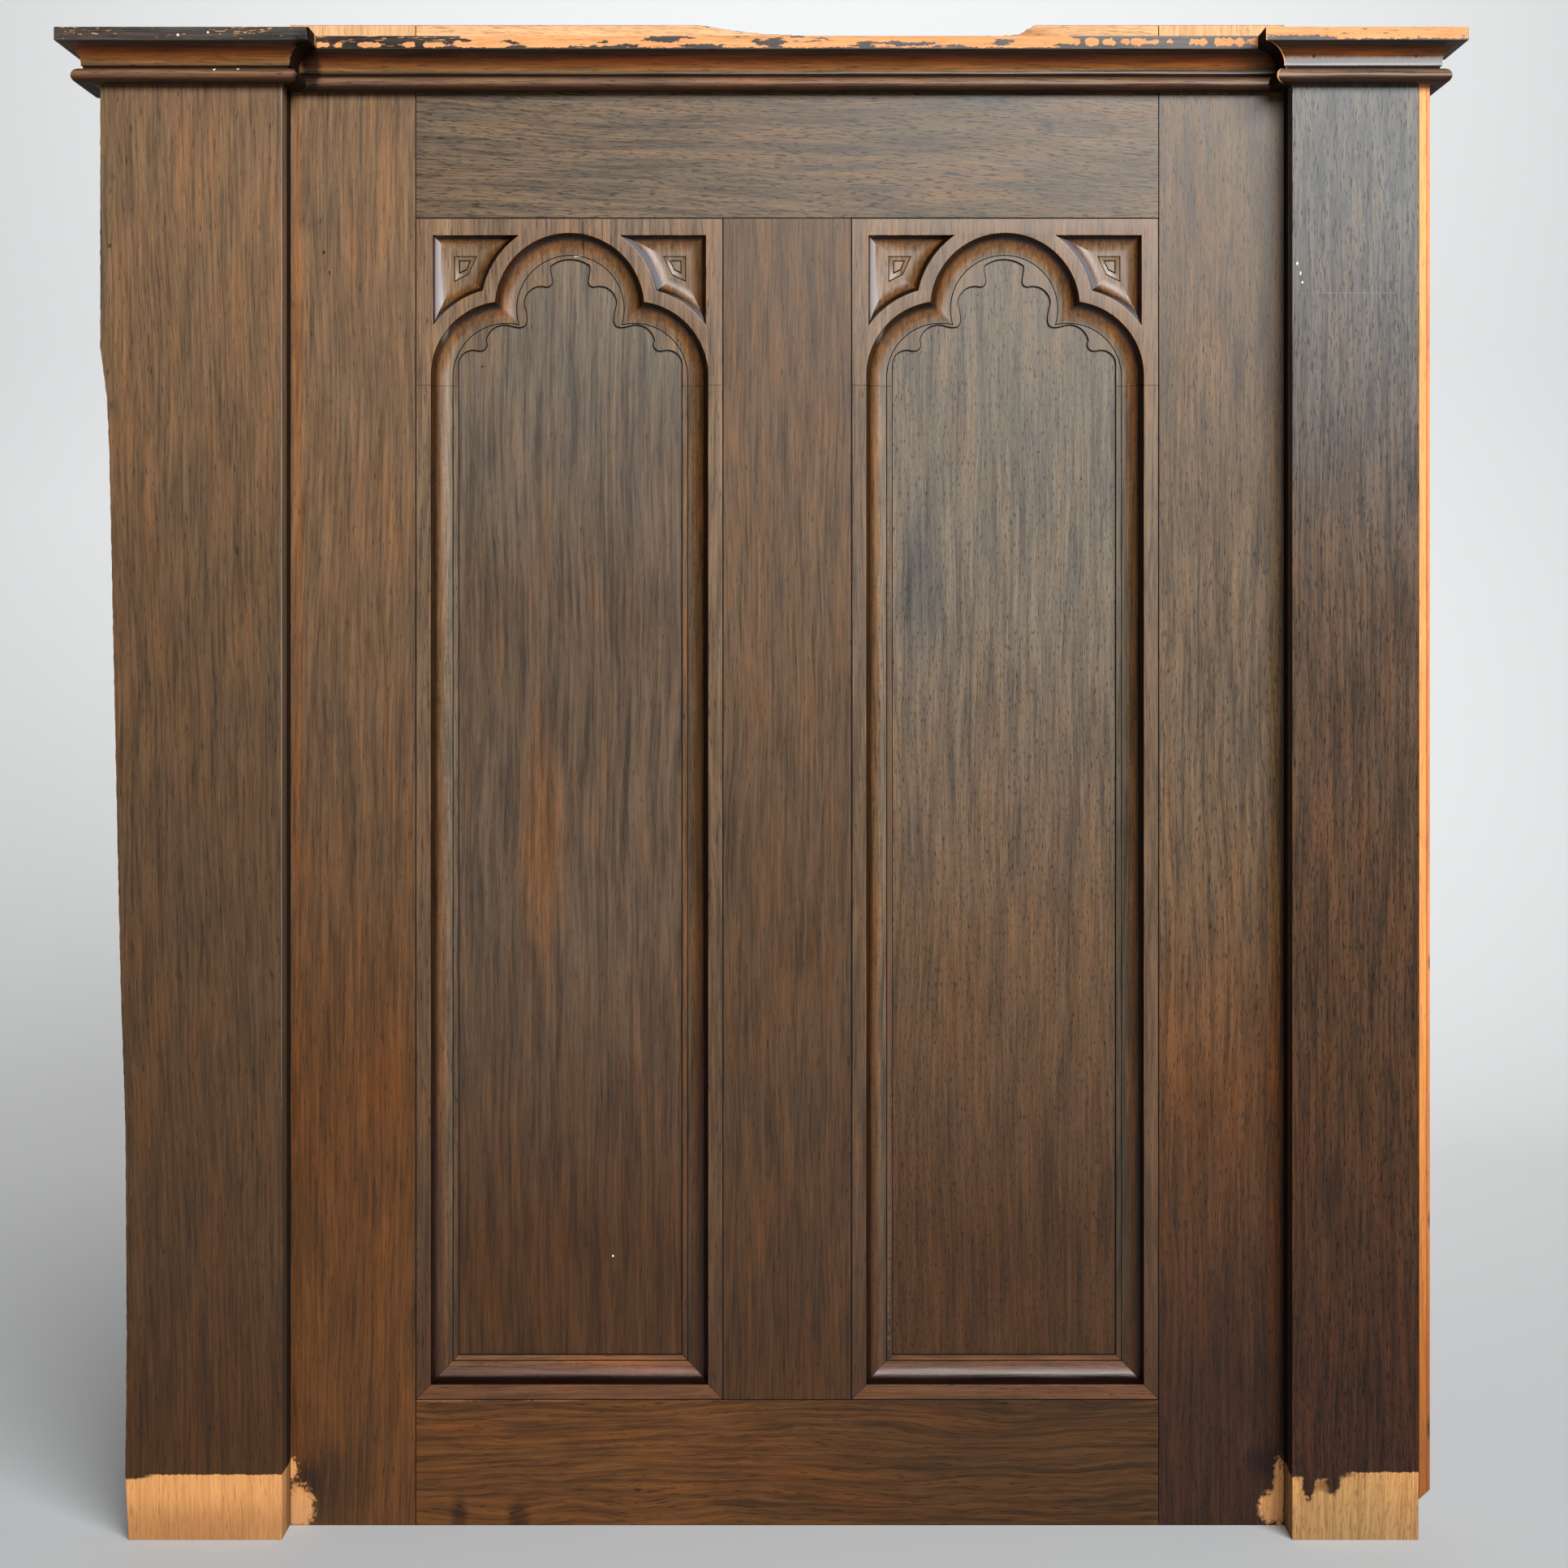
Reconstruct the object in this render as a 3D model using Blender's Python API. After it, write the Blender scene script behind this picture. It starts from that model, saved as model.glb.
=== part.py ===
"""Carved oak wainscot panel.

A frame-and-panel field with two arched inserts stands between two box pilasters, under a
cornice that breaks forward round each pilaster. Metres, +Z up, +X to the right, front to -Y.
The origin is under the middle of the whole panel, on the floor.
"""

import math

import bmesh
import bpy
from mathutils import Vector

# Joint left open between two pieces that touch
GAP = 0.0003
MITRE_GAP = 0.75 * GAP

# Frame of the field
FRAME_HEIGHT = 1.219
FRAME_THICKNESS = 0.022
STILE_WIDTH = 0.102
MUNTIN_WIDTH = 0.104
BOTTOM_RAIL_HEIGHT = 0.102
TOP_RAIL_REVEAL = 0.102
INSERT_WIDTH = 0.250

# Carved inserts
BORDER = 0.012
COVE_WIDTH = 0.0165
COVE_DEPTH = 0.011
LIP_WIDTH = 0.0053
LIP_THICKNESS = 0.002
HEAD_BELOW_LOBES = 0.0073
SPANDREL_MARGIN = 0.0148
SPANDREL_BAND = 0.0112
SPANDREL_COVE = 0.009
SPANDREL_DEPTH = 0.008
NAILHEAD_DEPTH = 0.002

# Box pilasters
PILASTER_PROJECTION = 0.038
LEFT_PILASTER_WIDTH = 0.151
RIGHT_PILASTER_WIDTH = 0.110
PILASTER_BOARD = 0.022
RETURN_BOARD = 0.019
RIGHT_STRIP_WIDTH = 0.0087
RIGHT_STRIP_FOOT = 0.0324
RIGHT_STRIP_CHAMFER = 0.0078
SCRIBE_DEPTH = 0.0279
SCRIBE_TAB = 0.001
RETURN_SCRIBE_TOP = 0.0085
RETURN_SCRIBE_FLOOR = 0.0290

# Cornice
CORNICE_PROJECTION = 0.0253
FILLET_HEIGHT = 0.0108
FILLET_UNDERCUT = 0.0012
COVE_HEIGHT = 0.016
QUIRK_PROJECTION = 0.008
BEAD_RADIUS = 0.0072
FRAME_RISE = 0.0135

# Steps of the curved surfaces
COVE_STEPS = 6
BEAD_STEPS = 7
LOBE_STEPS = 14
FOIL_STEPS = 7

# Trefoil: radius of its lobes and drop from the crown to the side lobes, shares of half the opening
LOBE_SHARE = 0.5386
DROP_SHARE = 0.4916
# Nailhead: mouth and pit as shares of the spandrel's floor, weight of each corner in its middle
NAILHEAD_MOUTH = 0.50
NAILHEAD_PIT = 0.28
NAILHEAD_WEIGHTS = (0.3, 0.3, 0.2, 0.2)
# Cut-back of the left pilaster's edge: share of the height below the cornice, share of the cut
SCRIBED_EDGE = (
    (1.000, 0.186), (0.820, 0.186), (0.786, 0.373), (0.753, 0.441), (0.652, 0.556),
    (0.518, 0.649), (0.384, 0.767), (0.284, 0.907), (0.144, 0.943), (0.046, 0.907),
    (0.000, 1.000),
)
# Broken top edge of the top rail: share of the rail's length, share of the height lost
BROKEN_TOP = (
    (0.376, 0.00), (0.402, 0.12), (0.420, 0.26), (0.463, 0.50), (0.506, 0.58), (0.550, 0.72),
    (0.638, 0.82), (0.724, 0.82), (0.768, 0.70), (0.811, 0.55), (0.822, 0.30), (0.833, 0.00),
)

# Heights and widths that follow
BEAD_HEIGHT = 2 * BEAD_RADIUS
CORNICE_HEIGHT = FILLET_HEIGHT + COVE_HEIGHT + BEAD_HEIGHT
CORNICE_TOP = FRAME_HEIGHT - FRAME_RISE
CORNICE_BOTTOM = CORNICE_TOP - CORNICE_HEIGHT
TOP_RAIL_BOTTOM = CORNICE_BOTTOM - TOP_RAIL_REVEAL
FRAME_WIDTH = 2 * STILE_WIDTH + 2 * INSERT_WIDTH + MUNTIN_WIDTH
CARVED_THICKNESS = COVE_DEPTH + LIP_THICKNESS
MOULDING_WIDTH = BORDER + COVE_WIDTH + LIP_WIDTH

# Places across the front
HALF_SPAN = (FRAME_WIDTH + LEFT_PILASTER_WIDTH + RIGHT_PILASTER_WIDTH) / 2
LEFT_OUTER = -HALF_SPAN
LEFT_INNER = LEFT_OUTER + LEFT_PILASTER_WIDTH
RIGHT_INNER = LEFT_INNER + FRAME_WIDTH
RIGHT_OUTER = HALF_SPAN
LEFT_INSERT = LEFT_INNER + STILE_WIDTH
RIGHT_INSERT = LEFT_INSERT + INSERT_WIDTH + MUNTIN_WIDTH

# Places from front to back
BACK = (FRAME_THICKNESS + PILASTER_PROJECTION + CORNICE_PROJECTION) / 2
FRAME_FACE = BACK - FRAME_THICKNESS
PILASTER_FACE = FRAME_FACE - PILASTER_PROJECTION
RETURN_FRONT = PILASTER_FACE + PILASTER_BOARD + GAP

# Arched opening, measured from the middle of its crown lobe
INSERT_BOTTOM = BOTTOM_RAIL_HEIGHT + GAP
INSERT_TOP = TOP_RAIL_BOTTOM - GAP
HALF_INSERT = INSERT_WIDTH / 2 - GAP
HALF_OPENING = HALF_INSERT - BORDER
LOBE_RADIUS = LOBE_SHARE * HALF_OPENING
LOBE_DROP = DROP_SHARE * HALF_OPENING
CROWN_HEIGHT = INSERT_TOP - BORDER - LOBE_RADIUS
INNER_RADIUS = LOBE_RADIUS - COVE_WIDTH
SIDE_LOBE_OFFSET = HALF_OPENING - LOBE_RADIUS
HEAD_BOTTOM = CROWN_HEIGHT - LOBE_DROP - HEAD_BELOW_LOBES
CUTTER_CLEARANCE = 0.004


def clear_scene():
    for obj in list(bpy.data.objects):
        bpy.data.objects.remove(obj, do_unlink=True)


def wood(name, colour, roughness):
    material = bpy.data.materials.new(name)
    material.use_nodes = True
    shader = material.node_tree.nodes["Principled BSDF"]
    shader.inputs["Base Color"].default_value = (*colour, 1.0)
    shader.inputs["Roughness"].default_value = roughness
    shader.inputs["Metallic"].default_value = 0.0
    return material


def stained_oak(name):
    return wood(name + "_oak", (0.115, 0.060, 0.032), 0.42)


def bare_oak(name):
    return wood(name + "_bare_oak", (0.560, 0.330, 0.150), 0.70)


def lofted(name, rings, material=None, smooth_angle=None):
    """A closed body through rings of equally many points, capped at both ends."""
    mesh = bpy.data.meshes.new(name)
    bm = bmesh.new()
    rows = [[bm.verts.new(point) for point in ring] for ring in rings]
    count = len(rings[0])
    bm.faces.new(rows[0])
    bm.faces.new(rows[-1])
    for lower, upper in zip(rows, rows[1:]):
        for i in range(count):
            j = (i + 1) % count
            bm.faces.new((lower[i], lower[j], upper[j], upper[i]))
    bmesh.ops.recalc_face_normals(bm, faces=bm.faces)
    bm.to_mesh(mesh)
    bm.free()
    if smooth_angle:
        mesh.shade_smooth()
        mesh.set_sharp_from_angle(angle=math.radians(smooth_angle))
    obj = bpy.data.objects.new(name, mesh)
    bpy.context.scene.collection.objects.link(obj)
    if material:
        mesh.materials.append(material)
    return obj


def board(name, outline, front, back, material=None):
    """A flat piece: an outline of (x, z) points, sawn through from front to back."""
    rings = [[Vector((x, depth, z)) for x, z in outline] for depth in (front, back)]
    return lofted(name, rings, material)


def box_board(name, left, right, bottom, top, front, back, material):
    outline = [(left, bottom), (right, bottom), (right, top), (left, top)]
    return board(name, outline, front, back, material)


def as_cutter(obj):
    obj.hide_render = True
    obj.display_type = "WIRE"
    return obj


def combine(target, other, operation):
    modifier = target.modifiers.new(other.name, "BOOLEAN")
    modifier.operation = operation
    modifier.solver = "EXACT"
    modifier.object = as_cutter(other)


def arc(centre, radius, start, end, steps):
    """Points on a circle from angle start to angle end, in degrees, both ends included."""
    points = []
    for i in range(steps + 1):
        angle = math.radians(start + (end - start) * i / steps)
        points.append((centre[0] + radius * math.cos(angle), centre[1] + radius * math.sin(angle)))
    return points


def bezier(start, first, second, end, steps):
    """Inner points of a cubic curve, without its two ends."""
    points = []
    for i in range(1, steps):
        t = i / steps
        weights = ((1 - t) ** 3, 3 * t * (1 - t) ** 2, 3 * t * t * (1 - t), t ** 3)
        corners = (start, first, second, end)
        points.append(tuple(sum(w * c[k] for w, c in zip(weights, corners)) for k in (0, 1)))
    return points


def mirrored(points):
    return [(-x, z) for x, z in reversed(points)]


def cove_profile(width, depth, steps):
    """Hollow that starts steep at the face and ends flat: pairs of (across, deep)."""
    turns = [math.radians(90) * i / steps for i in range(steps + 1)]
    return [(width * (1 - math.cos(turn)), depth * math.sin(turn)) for turn in turns]


def lobe_meeting(radius):
    """Where the crown lobe and the left side lobe of this radius cross, above the cusp."""
    half = Vector((SIDE_LOBE_OFFSET, LOBE_DROP)) / 2
    reach = math.sqrt(radius ** 2 - half.length_squared)
    across = Vector((-half.y, half.x)).normalized()
    return -half + across * reach


def angle_at(point, centre):
    return math.degrees(math.atan2(point[1] - centre[1], point[0] - centre[0])) % 360


def opening_outline(inset, bottom):
    """Trefoil-headed opening, moved in by inset, round the middle of the crown lobe."""
    radius = LOBE_RADIUS - inset
    cusp = lobe_meeting(radius)
    side = (-SIDE_LOBE_OFFSET, -LOBE_DROP)
    left = arc(side, radius, 180, angle_at(cusp, side), LOBE_STEPS)
    crown = arc((0, 0), radius, angle_at(cusp, (0, 0)), 90, LOBE_STEPS)
    half = [(side[0] - radius, bottom)] + left + crown[1:]
    return half + mirrored(half[:-1])


def tracery_outline(bottom):
    """Edge of the thin cusped layer: foils joined by small rounded noses."""
    unit = INNER_RADIUS
    side = (-SIDE_LOBE_OFFSET, -LOBE_DROP)

    def near(centre, across, up):
        return (centre[0] + across * unit, centre[1] + up * unit)

    crown = arc(near((0, 0), 0, 0.31), 0.602 * unit, 90, 126, FOIL_STEPS)
    shoulder = arc(near((0, 0), -0.536, 0.104), 0.312 * unit, 72, 180, FOIL_STEPS)
    flank = arc(near(side, -0.03, 0.61), 0.348 * unit, 80, 170, FOIL_STEPS)
    spring_radius = 0.26 * unit
    edge = HALF_OPENING - COVE_WIDTH - LIP_WIDTH
    spring_centre = (spring_radius - edge, side[1] + 0.23 * unit)
    spring = arc(spring_centre, spring_radius, 78, 180, FOIL_STEPS)
    noses = (
        (near((0, 0), -0.385, 0.633), near((0, 0), -0.226, 0.430)),
        (near((0, 0), -0.894, -0.068), near(side, 0.371, 0.925)),
        (near(side, -0.319, 0.586), near(side, -0.376, 0.428)),
    )
    half = list(crown)
    for (first, second), foil in zip(noses, (shoulder, flank, spring)):
        half += bezier(half[-1], first, second, foil[0], FOIL_STEPS) + foil
    half.append((-edge, bottom))
    half.reverse()
    return half + mirrored(half[:-1])


def spandrel_corners(inset):
    """Corner, tip on the top side, cusp and tip on the outer side of the left spandrel."""
    radius = LOBE_RADIUS + SPANDREL_BAND + inset
    outer = -HALF_INSERT + SPANDREL_MARGIN + inset
    top = INSERT_TOP - SPANDREL_MARGIN - inset - CROWN_HEIGHT
    top_tip = (-math.sqrt(radius ** 2 - top ** 2), top)
    from_side = outer + SIDE_LOBE_OFFSET
    outer_tip = (outer, math.sqrt(radius ** 2 - from_side ** 2) - LOBE_DROP)
    return (outer, top), top_tip, lobe_meeting(radius), outer_tip


def spandrel_outline(inset):
    corner, top_tip, cusp, outer_tip = spandrel_corners(inset)
    radius = LOBE_RADIUS + SPANDREL_BAND + inset
    side = (-SIDE_LOBE_OFFSET, -LOBE_DROP)
    over = arc((0, 0), radius, angle_at(top_tip, (0, 0)), angle_at(cusp, (0, 0)), LOBE_STEPS)
    under = arc(side, radius, angle_at(cusp, side), angle_at(outer_tip, side), LOBE_STEPS)
    return [corner] + over + under[1:]


def nailhead_outline(share):
    """Four-sided sinking in the spandrel's floor, as a share of the floor's size."""
    corners = spandrel_corners(SPANDREL_COVE)
    middle = [sum(w * c[k] for w, c in zip(NAILHEAD_WEIGHTS, corners)) for k in (0, 1)]
    return [tuple(m + share * (c - m) for c, m in zip(corner, middle)) for corner in corners]


def placed(outline, middle, depth, flip=1):
    """A ring of points for an outline drawn round the crown lobe of the insert at middle."""
    return [
        Vector((middle + flip * x, FRAME_FACE + depth, CROWN_HEIGHT + z)) for x, z in outline
    ]


def head_cutters(name, middle):
    """Cutters of one carved head: the hollowed arch, the cusped layer, two spandrels."""
    below = HEAD_BOTTOM - CROWN_HEIGHT - CUTTER_CLEARANCE
    cove = cove_profile(COVE_WIDTH, COVE_DEPTH, COVE_STEPS)
    rings = [placed(opening_outline(0, below), middle, -CUTTER_CLEARANCE)]
    rings += [placed(opening_outline(inset, below), middle, deep) for inset, deep in cove]
    cutters = [lofted(name + "_arch_cutter", rings, smooth_angle=40)]

    through = CARVED_THICKNESS + CUTTER_CLEARANCE
    start = COVE_DEPTH - LIP_THICKNESS
    edge = tracery_outline(below)
    rings = [placed(edge, middle, start), placed(edge, middle, through)]
    cutters.append(lofted(name + "_tracery_cutter", rings))

    sunk = cove_profile(SPANDREL_COVE, SPANDREL_DEPTH, COVE_STEPS)
    mouth = nailhead_outline(NAILHEAD_MOUTH)
    pit = nailhead_outline(NAILHEAD_PIT)
    for side, flip in (("left", 1), ("right", -1)):
        rings = [placed(spandrel_outline(0), middle, -CUTTER_CLEARANCE, flip)]
        rings += [placed(spandrel_outline(inset), middle, deep, flip) for inset, deep in sunk]
        cutters.append(lofted(f"{name}_{side}_spandrel_cutter", rings, smooth_angle=40))
        rings = [
            placed(mouth, middle, SPANDREL_DEPTH - NAILHEAD_DEPTH, flip),
            placed(mouth, middle, SPANDREL_DEPTH, flip),
            placed(pit, middle, SPANDREL_DEPTH + NAILHEAD_DEPTH, flip),
        ]
        cutters.append(lofted(f"{name}_{side}_nailhead_cutter", rings))
    return cutters


def make_head(name, middle):
    left = middle - HALF_INSERT
    right = middle + HALF_INSERT
    head = box_board(
        name, left, right, HEAD_BOTTOM, INSERT_TOP,
        FRAME_FACE, FRAME_FACE + CARVED_THICKNESS, stained_oak(name),
    )
    for cutter in head_cutters(name, middle):
        combine(head, cutter, "DIFFERENCE")


def insert_moulding():
    """Section of the jambs and the sill: pairs of (across, deep) from the outer edge."""
    section = [(0, 0), (BORDER, 0)]
    cove = cove_profile(COVE_WIDTH, COVE_DEPTH, COVE_STEPS)
    section += [(BORDER + across, deep) for across, deep in cove[1:]]
    section += [
        (MOULDING_WIDTH, COVE_DEPTH), (MOULDING_WIDTH, CARVED_THICKNESS), (0, CARVED_THICKNESS)
    ]
    return section


def make_jamb(name, edge, inward):
    """Upright moulding: its outer edge at x = edge, its mitred foot on the sill."""
    foot = []
    top = []
    for across, deep in insert_moulding():
        x = edge + inward * across
        foot.append(Vector((x, FRAME_FACE + deep, INSERT_BOTTOM + across + MITRE_GAP)))
        top.append(Vector((x, FRAME_FACE + deep, HEAD_BOTTOM - GAP)))
    lofted(name, [foot, top], stained_oak(name), smooth_angle=40)


def make_sill(name, middle):
    """Moulding across the foot of the insert, mitred into both jambs."""
    ends = []
    for side in (-1, 1):
        reach = HALF_INSERT - MITRE_GAP
        ends.append([
            Vector((middle + side * (reach - across), FRAME_FACE + deep, INSERT_BOTTOM + across))
            for across, deep in insert_moulding()
        ])
    lofted(name, ends, stained_oak(name), smooth_angle=40)


def make_insert(name, left):
    middle = left + INSERT_WIDTH / 2
    make_head(name + "_head", middle)
    make_jamb(name + "_left_jamb", middle - HALF_INSERT, 1)
    make_jamb(name + "_right_jamb", middle + HALF_INSERT, -1)
    make_sill(name + "_sill", middle)
    box_board(
        name + "_field", middle - HALF_INSERT, middle + HALF_INSERT, INSERT_BOTTOM, INSERT_TOP,
        FRAME_FACE + CARVED_THICKNESS + GAP, BACK, stained_oak(name + "_field"),
    )


def make_frame():
    left = LEFT_INNER + GAP
    right = RIGHT_INNER - GAP
    stile_edge = LEFT_INSERT
    for name, low, high in (
        ("left_stile", left, stile_edge),
        ("right_stile", RIGHT_INSERT + INSERT_WIDTH, right),
    ):
        box_board(name, low, high, 0, FRAME_HEIGHT, FRAME_FACE, BACK, stained_oak(name))

    rail_left = stile_edge + GAP
    rail_right = RIGHT_INSERT + INSERT_WIDTH - GAP
    rail_length = rail_right - rail_left
    outline = [(rail_left, TOP_RAIL_BOTTOM), (rail_right, TOP_RAIL_BOTTOM)]
    outline.append((rail_right, FRAME_HEIGHT))
    for share, lost in reversed(BROKEN_TOP):
        outline.append((rail_left + share * rail_length, FRAME_HEIGHT - lost * FRAME_RISE))
    outline.append((rail_left, FRAME_HEIGHT))
    board("top_rail", outline, FRAME_FACE, BACK, stained_oak("top_rail"))
    box_board(
        "bottom_rail", rail_left, rail_right, 0, BOTTOM_RAIL_HEIGHT, FRAME_FACE, BACK,
        stained_oak("bottom_rail"),
    )
    box_board(
        "muntin", LEFT_INSERT + INSERT_WIDTH, RIGHT_INSERT, INSERT_BOTTOM, INSERT_TOP,
        FRAME_FACE, BACK, stained_oak("muntin"),
    )


def make_left_pilaster():
    """Wide pilaster; its outer edge was cut back by hand to fit an uneven wall."""
    front_back = PILASTER_FACE + PILASTER_BOARD
    tab = CORNICE_BOTTOM - SCRIBE_TAB
    outline = [(LEFT_INNER, 0), (LEFT_INNER, CORNICE_TOP), (LEFT_OUTER, CORNICE_TOP)]
    outline.append((LEFT_OUTER, tab))
    outline += [
        (LEFT_OUTER + cut * SCRIBE_DEPTH, share * tab) for share, cut in SCRIBED_EDGE
    ]
    name = "left_pilaster_front"
    board(name, outline, PILASTER_FACE, front_back, stained_oak(name))

    name = "left_pilaster_inner_return"
    box_board(
        name, LEFT_INNER - RETURN_BOARD, LEFT_INNER, 0, CORNICE_TOP, RETURN_FRONT, BACK,
        stained_oak(name),
    )

    high = LEFT_OUTER + RETURN_SCRIBE_TOP
    low = LEFT_OUTER + RETURN_SCRIBE_FLOOR
    outline = [
        (low, 0), (low + RETURN_BOARD, 0), (high + RETURN_BOARD, tab),
        (high + RETURN_BOARD, CORNICE_TOP), (LEFT_OUTER, CORNICE_TOP), (LEFT_OUTER, tab),
        (high, tab),
    ]
    name = "left_pilaster_outer_return"
    board(name, outline, RETURN_FRONT, BACK, bare_oak(name))


def make_right_pilaster():
    """Narrow pilaster; the raw front edge of its outer return shows beside the face board."""
    front_back = PILASTER_FACE + PILASTER_BOARD
    strip = RIGHT_OUTER - RIGHT_STRIP_WIDTH
    name = "right_pilaster_front"
    box_board(
        name, RIGHT_INNER, strip - GAP, 0, CORNICE_TOP, PILASTER_FACE, front_back,
        stained_oak(name),
    )
    name = "right_pilaster_inner_return"
    box_board(
        name, RIGHT_INNER, RIGHT_INNER + RETURN_BOARD, 0, CORNICE_TOP, RETURN_FRONT, BACK,
        stained_oak(name),
    )

    name = "right_pilaster_outer_return"
    chamfer_top = RIGHT_STRIP_FOOT + RIGHT_STRIP_CHAMFER
    edge = [
        (strip, RIGHT_STRIP_FOOT), (RIGHT_OUTER, chamfer_top), (RIGHT_OUTER, CORNICE_TOP)
    ]
    inner = RIGHT_OUTER - RETURN_BOARD
    outline = [(inner, 0), (strip, 0)] + edge + [(inner, CORNICE_TOP)]
    side = board(name, outline, RETURN_FRONT, BACK, bare_oak(name))
    lap = board(
        name + "_lap", edge + [(strip, CORNICE_TOP)], PILASTER_FACE, (RETURN_FRONT + BACK) / 2
    )
    combine(side, lap, "UNION")


def cornice_section():
    """Section of the cornice: pairs of (out from the face, height), clockwise from the top."""
    fillet_foot = CORNICE_TOP - FILLET_HEIGHT
    quirk = fillet_foot - COVE_HEIGHT
    cove_width = CORNICE_PROJECTION - FILLET_UNDERCUT - QUIRK_PROJECTION
    section = [(GAP, CORNICE_TOP), (CORNICE_PROJECTION, CORNICE_TOP)]
    section.append((CORNICE_PROJECTION, fillet_foot))
    for i in range(COVE_STEPS + 1):
        turn = math.radians(90) * (1 - i / COVE_STEPS)
        out = QUIRK_PROJECTION + cove_width * (1 - math.cos(turn))
        section.append((out, quirk + COVE_HEIGHT * math.sin(turn)))
    bead = (2 * QUIRK_PROJECTION - BEAD_RADIUS - FILLET_UNDERCUT, quirk - BEAD_RADIUS)
    section += arc(bead, BEAD_RADIUS, 78, -90, BEAD_STEPS)
    section.append((GAP, CORNICE_BOTTOM))
    return section


def make_cornice():
    """Seven lengths of the moulding, from the wall on the left round to the wall on the right."""
    corners = (
        (LEFT_OUTER, BACK), (LEFT_OUTER, PILASTER_FACE), (LEFT_INNER, PILASTER_FACE),
        (LEFT_INNER, FRAME_FACE), (RIGHT_INNER, FRAME_FACE), (RIGHT_INNER, PILASTER_FACE),
        (RIGHT_OUTER, PILASTER_FACE), (RIGHT_OUTER, BACK),
    )
    names = (
        "cornice_left_outer_return", "cornice_left_front", "cornice_left_inner_return",
        "cornice_middle",
        "cornice_right_inner_return", "cornice_right_front", "cornice_right_outer_return",
    )
    # 1 where the moulding turns outwards, -1 where it turns inwards, 0 at a square end
    turns = (0, 1, 1, -1, -1, 1, 1, 0)
    section = cornice_section()
    for i, name in enumerate(names):
        start = Vector(corners[i])
        end = Vector(corners[i + 1])
        along = (end - start).normalized()
        outward = Vector((along.y, -along.x))
        rings = []
        for corner, turn, way in ((start, turns[i], -1), (end, turns[i + 1], 1)):
            seam = MITRE_GAP if turn else 0
            rings.append([
                Vector((*(corner + outward * out + along * way * (turn * out - seam)), height))
                for out, height in section
            ])
        lofted(name, rings, stained_oak(name), smooth_angle=40)


def make_panel():
    clear_scene()
    make_frame()
    make_insert("left_panel", LEFT_INSERT)
    make_insert("right_panel", RIGHT_INSERT)
    make_left_pilaster()
    make_right_pilaster()
    make_cornice()


make_panel()
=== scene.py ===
"""Looks of a carved oak wainscot panel: worn edges, fine mouldings, carving, oak and stain.

Every piece stands for the node of the same name. Metres, +Z up, front to -Y.
"""

import math

import bmesh
import bpy
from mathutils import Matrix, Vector, noise


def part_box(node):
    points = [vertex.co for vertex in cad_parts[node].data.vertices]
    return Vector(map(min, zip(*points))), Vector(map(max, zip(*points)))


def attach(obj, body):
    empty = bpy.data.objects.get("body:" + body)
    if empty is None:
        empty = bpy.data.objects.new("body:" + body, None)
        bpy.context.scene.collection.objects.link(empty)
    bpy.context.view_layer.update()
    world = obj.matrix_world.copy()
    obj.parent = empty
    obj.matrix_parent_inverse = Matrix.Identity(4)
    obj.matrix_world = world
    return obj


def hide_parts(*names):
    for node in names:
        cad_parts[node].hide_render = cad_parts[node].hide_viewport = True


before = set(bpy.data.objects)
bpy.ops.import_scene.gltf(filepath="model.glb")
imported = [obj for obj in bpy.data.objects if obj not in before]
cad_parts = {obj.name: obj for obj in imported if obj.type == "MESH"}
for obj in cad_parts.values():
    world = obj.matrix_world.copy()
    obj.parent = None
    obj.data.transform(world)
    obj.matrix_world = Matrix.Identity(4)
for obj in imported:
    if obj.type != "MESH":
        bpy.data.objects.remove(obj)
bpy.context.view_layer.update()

# Sizes repeated from the part
GAP = 0.0003
MITRE_GAP = 0.75 * GAP
BORDER = 0.012
COVE_WIDTH = 0.0165
COVE_DEPTH = 0.011
LIP_WIDTH = 0.0053
THICKNESS = 0.013
LOBE_SHARE = 0.5386
DROP_SHARE = 0.4916
SPANDREL_BAND = 0.0112
SPANDREL_DEPTH = 0.008
NAILHEAD_WEIGHTS = (0.3, 0.3, 0.2, 0.2)
PROJECTION = 0.0253
FILLET_HEIGHT = 0.0108
FILLET_UNDERCUT = 0.0012
CORNICE_COVE = 0.016
QUIRK = 0.008

# Refined from closer views, so a few mm off the part's
SPANDREL_MARGIN = 0.0138
SPANDREL_COVE = 0.0125
BEAD_RADIUS = 0.006
BEAD_DROP = 0.0095
NAILHEAD_SHARE = 0.68

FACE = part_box("left_stile")[0].y
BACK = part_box("left_stile")[1].y
PILASTER_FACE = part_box("left_pilaster_front")[0].y
LEFT_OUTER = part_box("left_pilaster_front")[0].x
LEFT_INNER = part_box("left_pilaster_front")[1].x
RIGHT_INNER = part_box("right_pilaster_front")[0].x
RIGHT_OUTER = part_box("right_pilaster_outer_return")[1].x
CORNICE_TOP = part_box("cornice_middle")[1].z
CORNICE_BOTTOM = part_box("cornice_middle")[0].z
FRAME_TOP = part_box("left_stile")[1].z
FILLET_FOOT = CORNICE_TOP - FILLET_HEIGHT
QUIRK_TOP = FILLET_FOOT - CORNICE_COVE

MM = 0.001


def linear(red, green, blue):
    """A colour given in 0 to 255, as the shader wants it."""
    values = [c / 255 for c in (red, green, blue)]
    return tuple(c / 12.92 if c <= 0.04045 else ((c + 0.055) / 1.055) ** 2.4 for c in values)


# Materials


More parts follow.
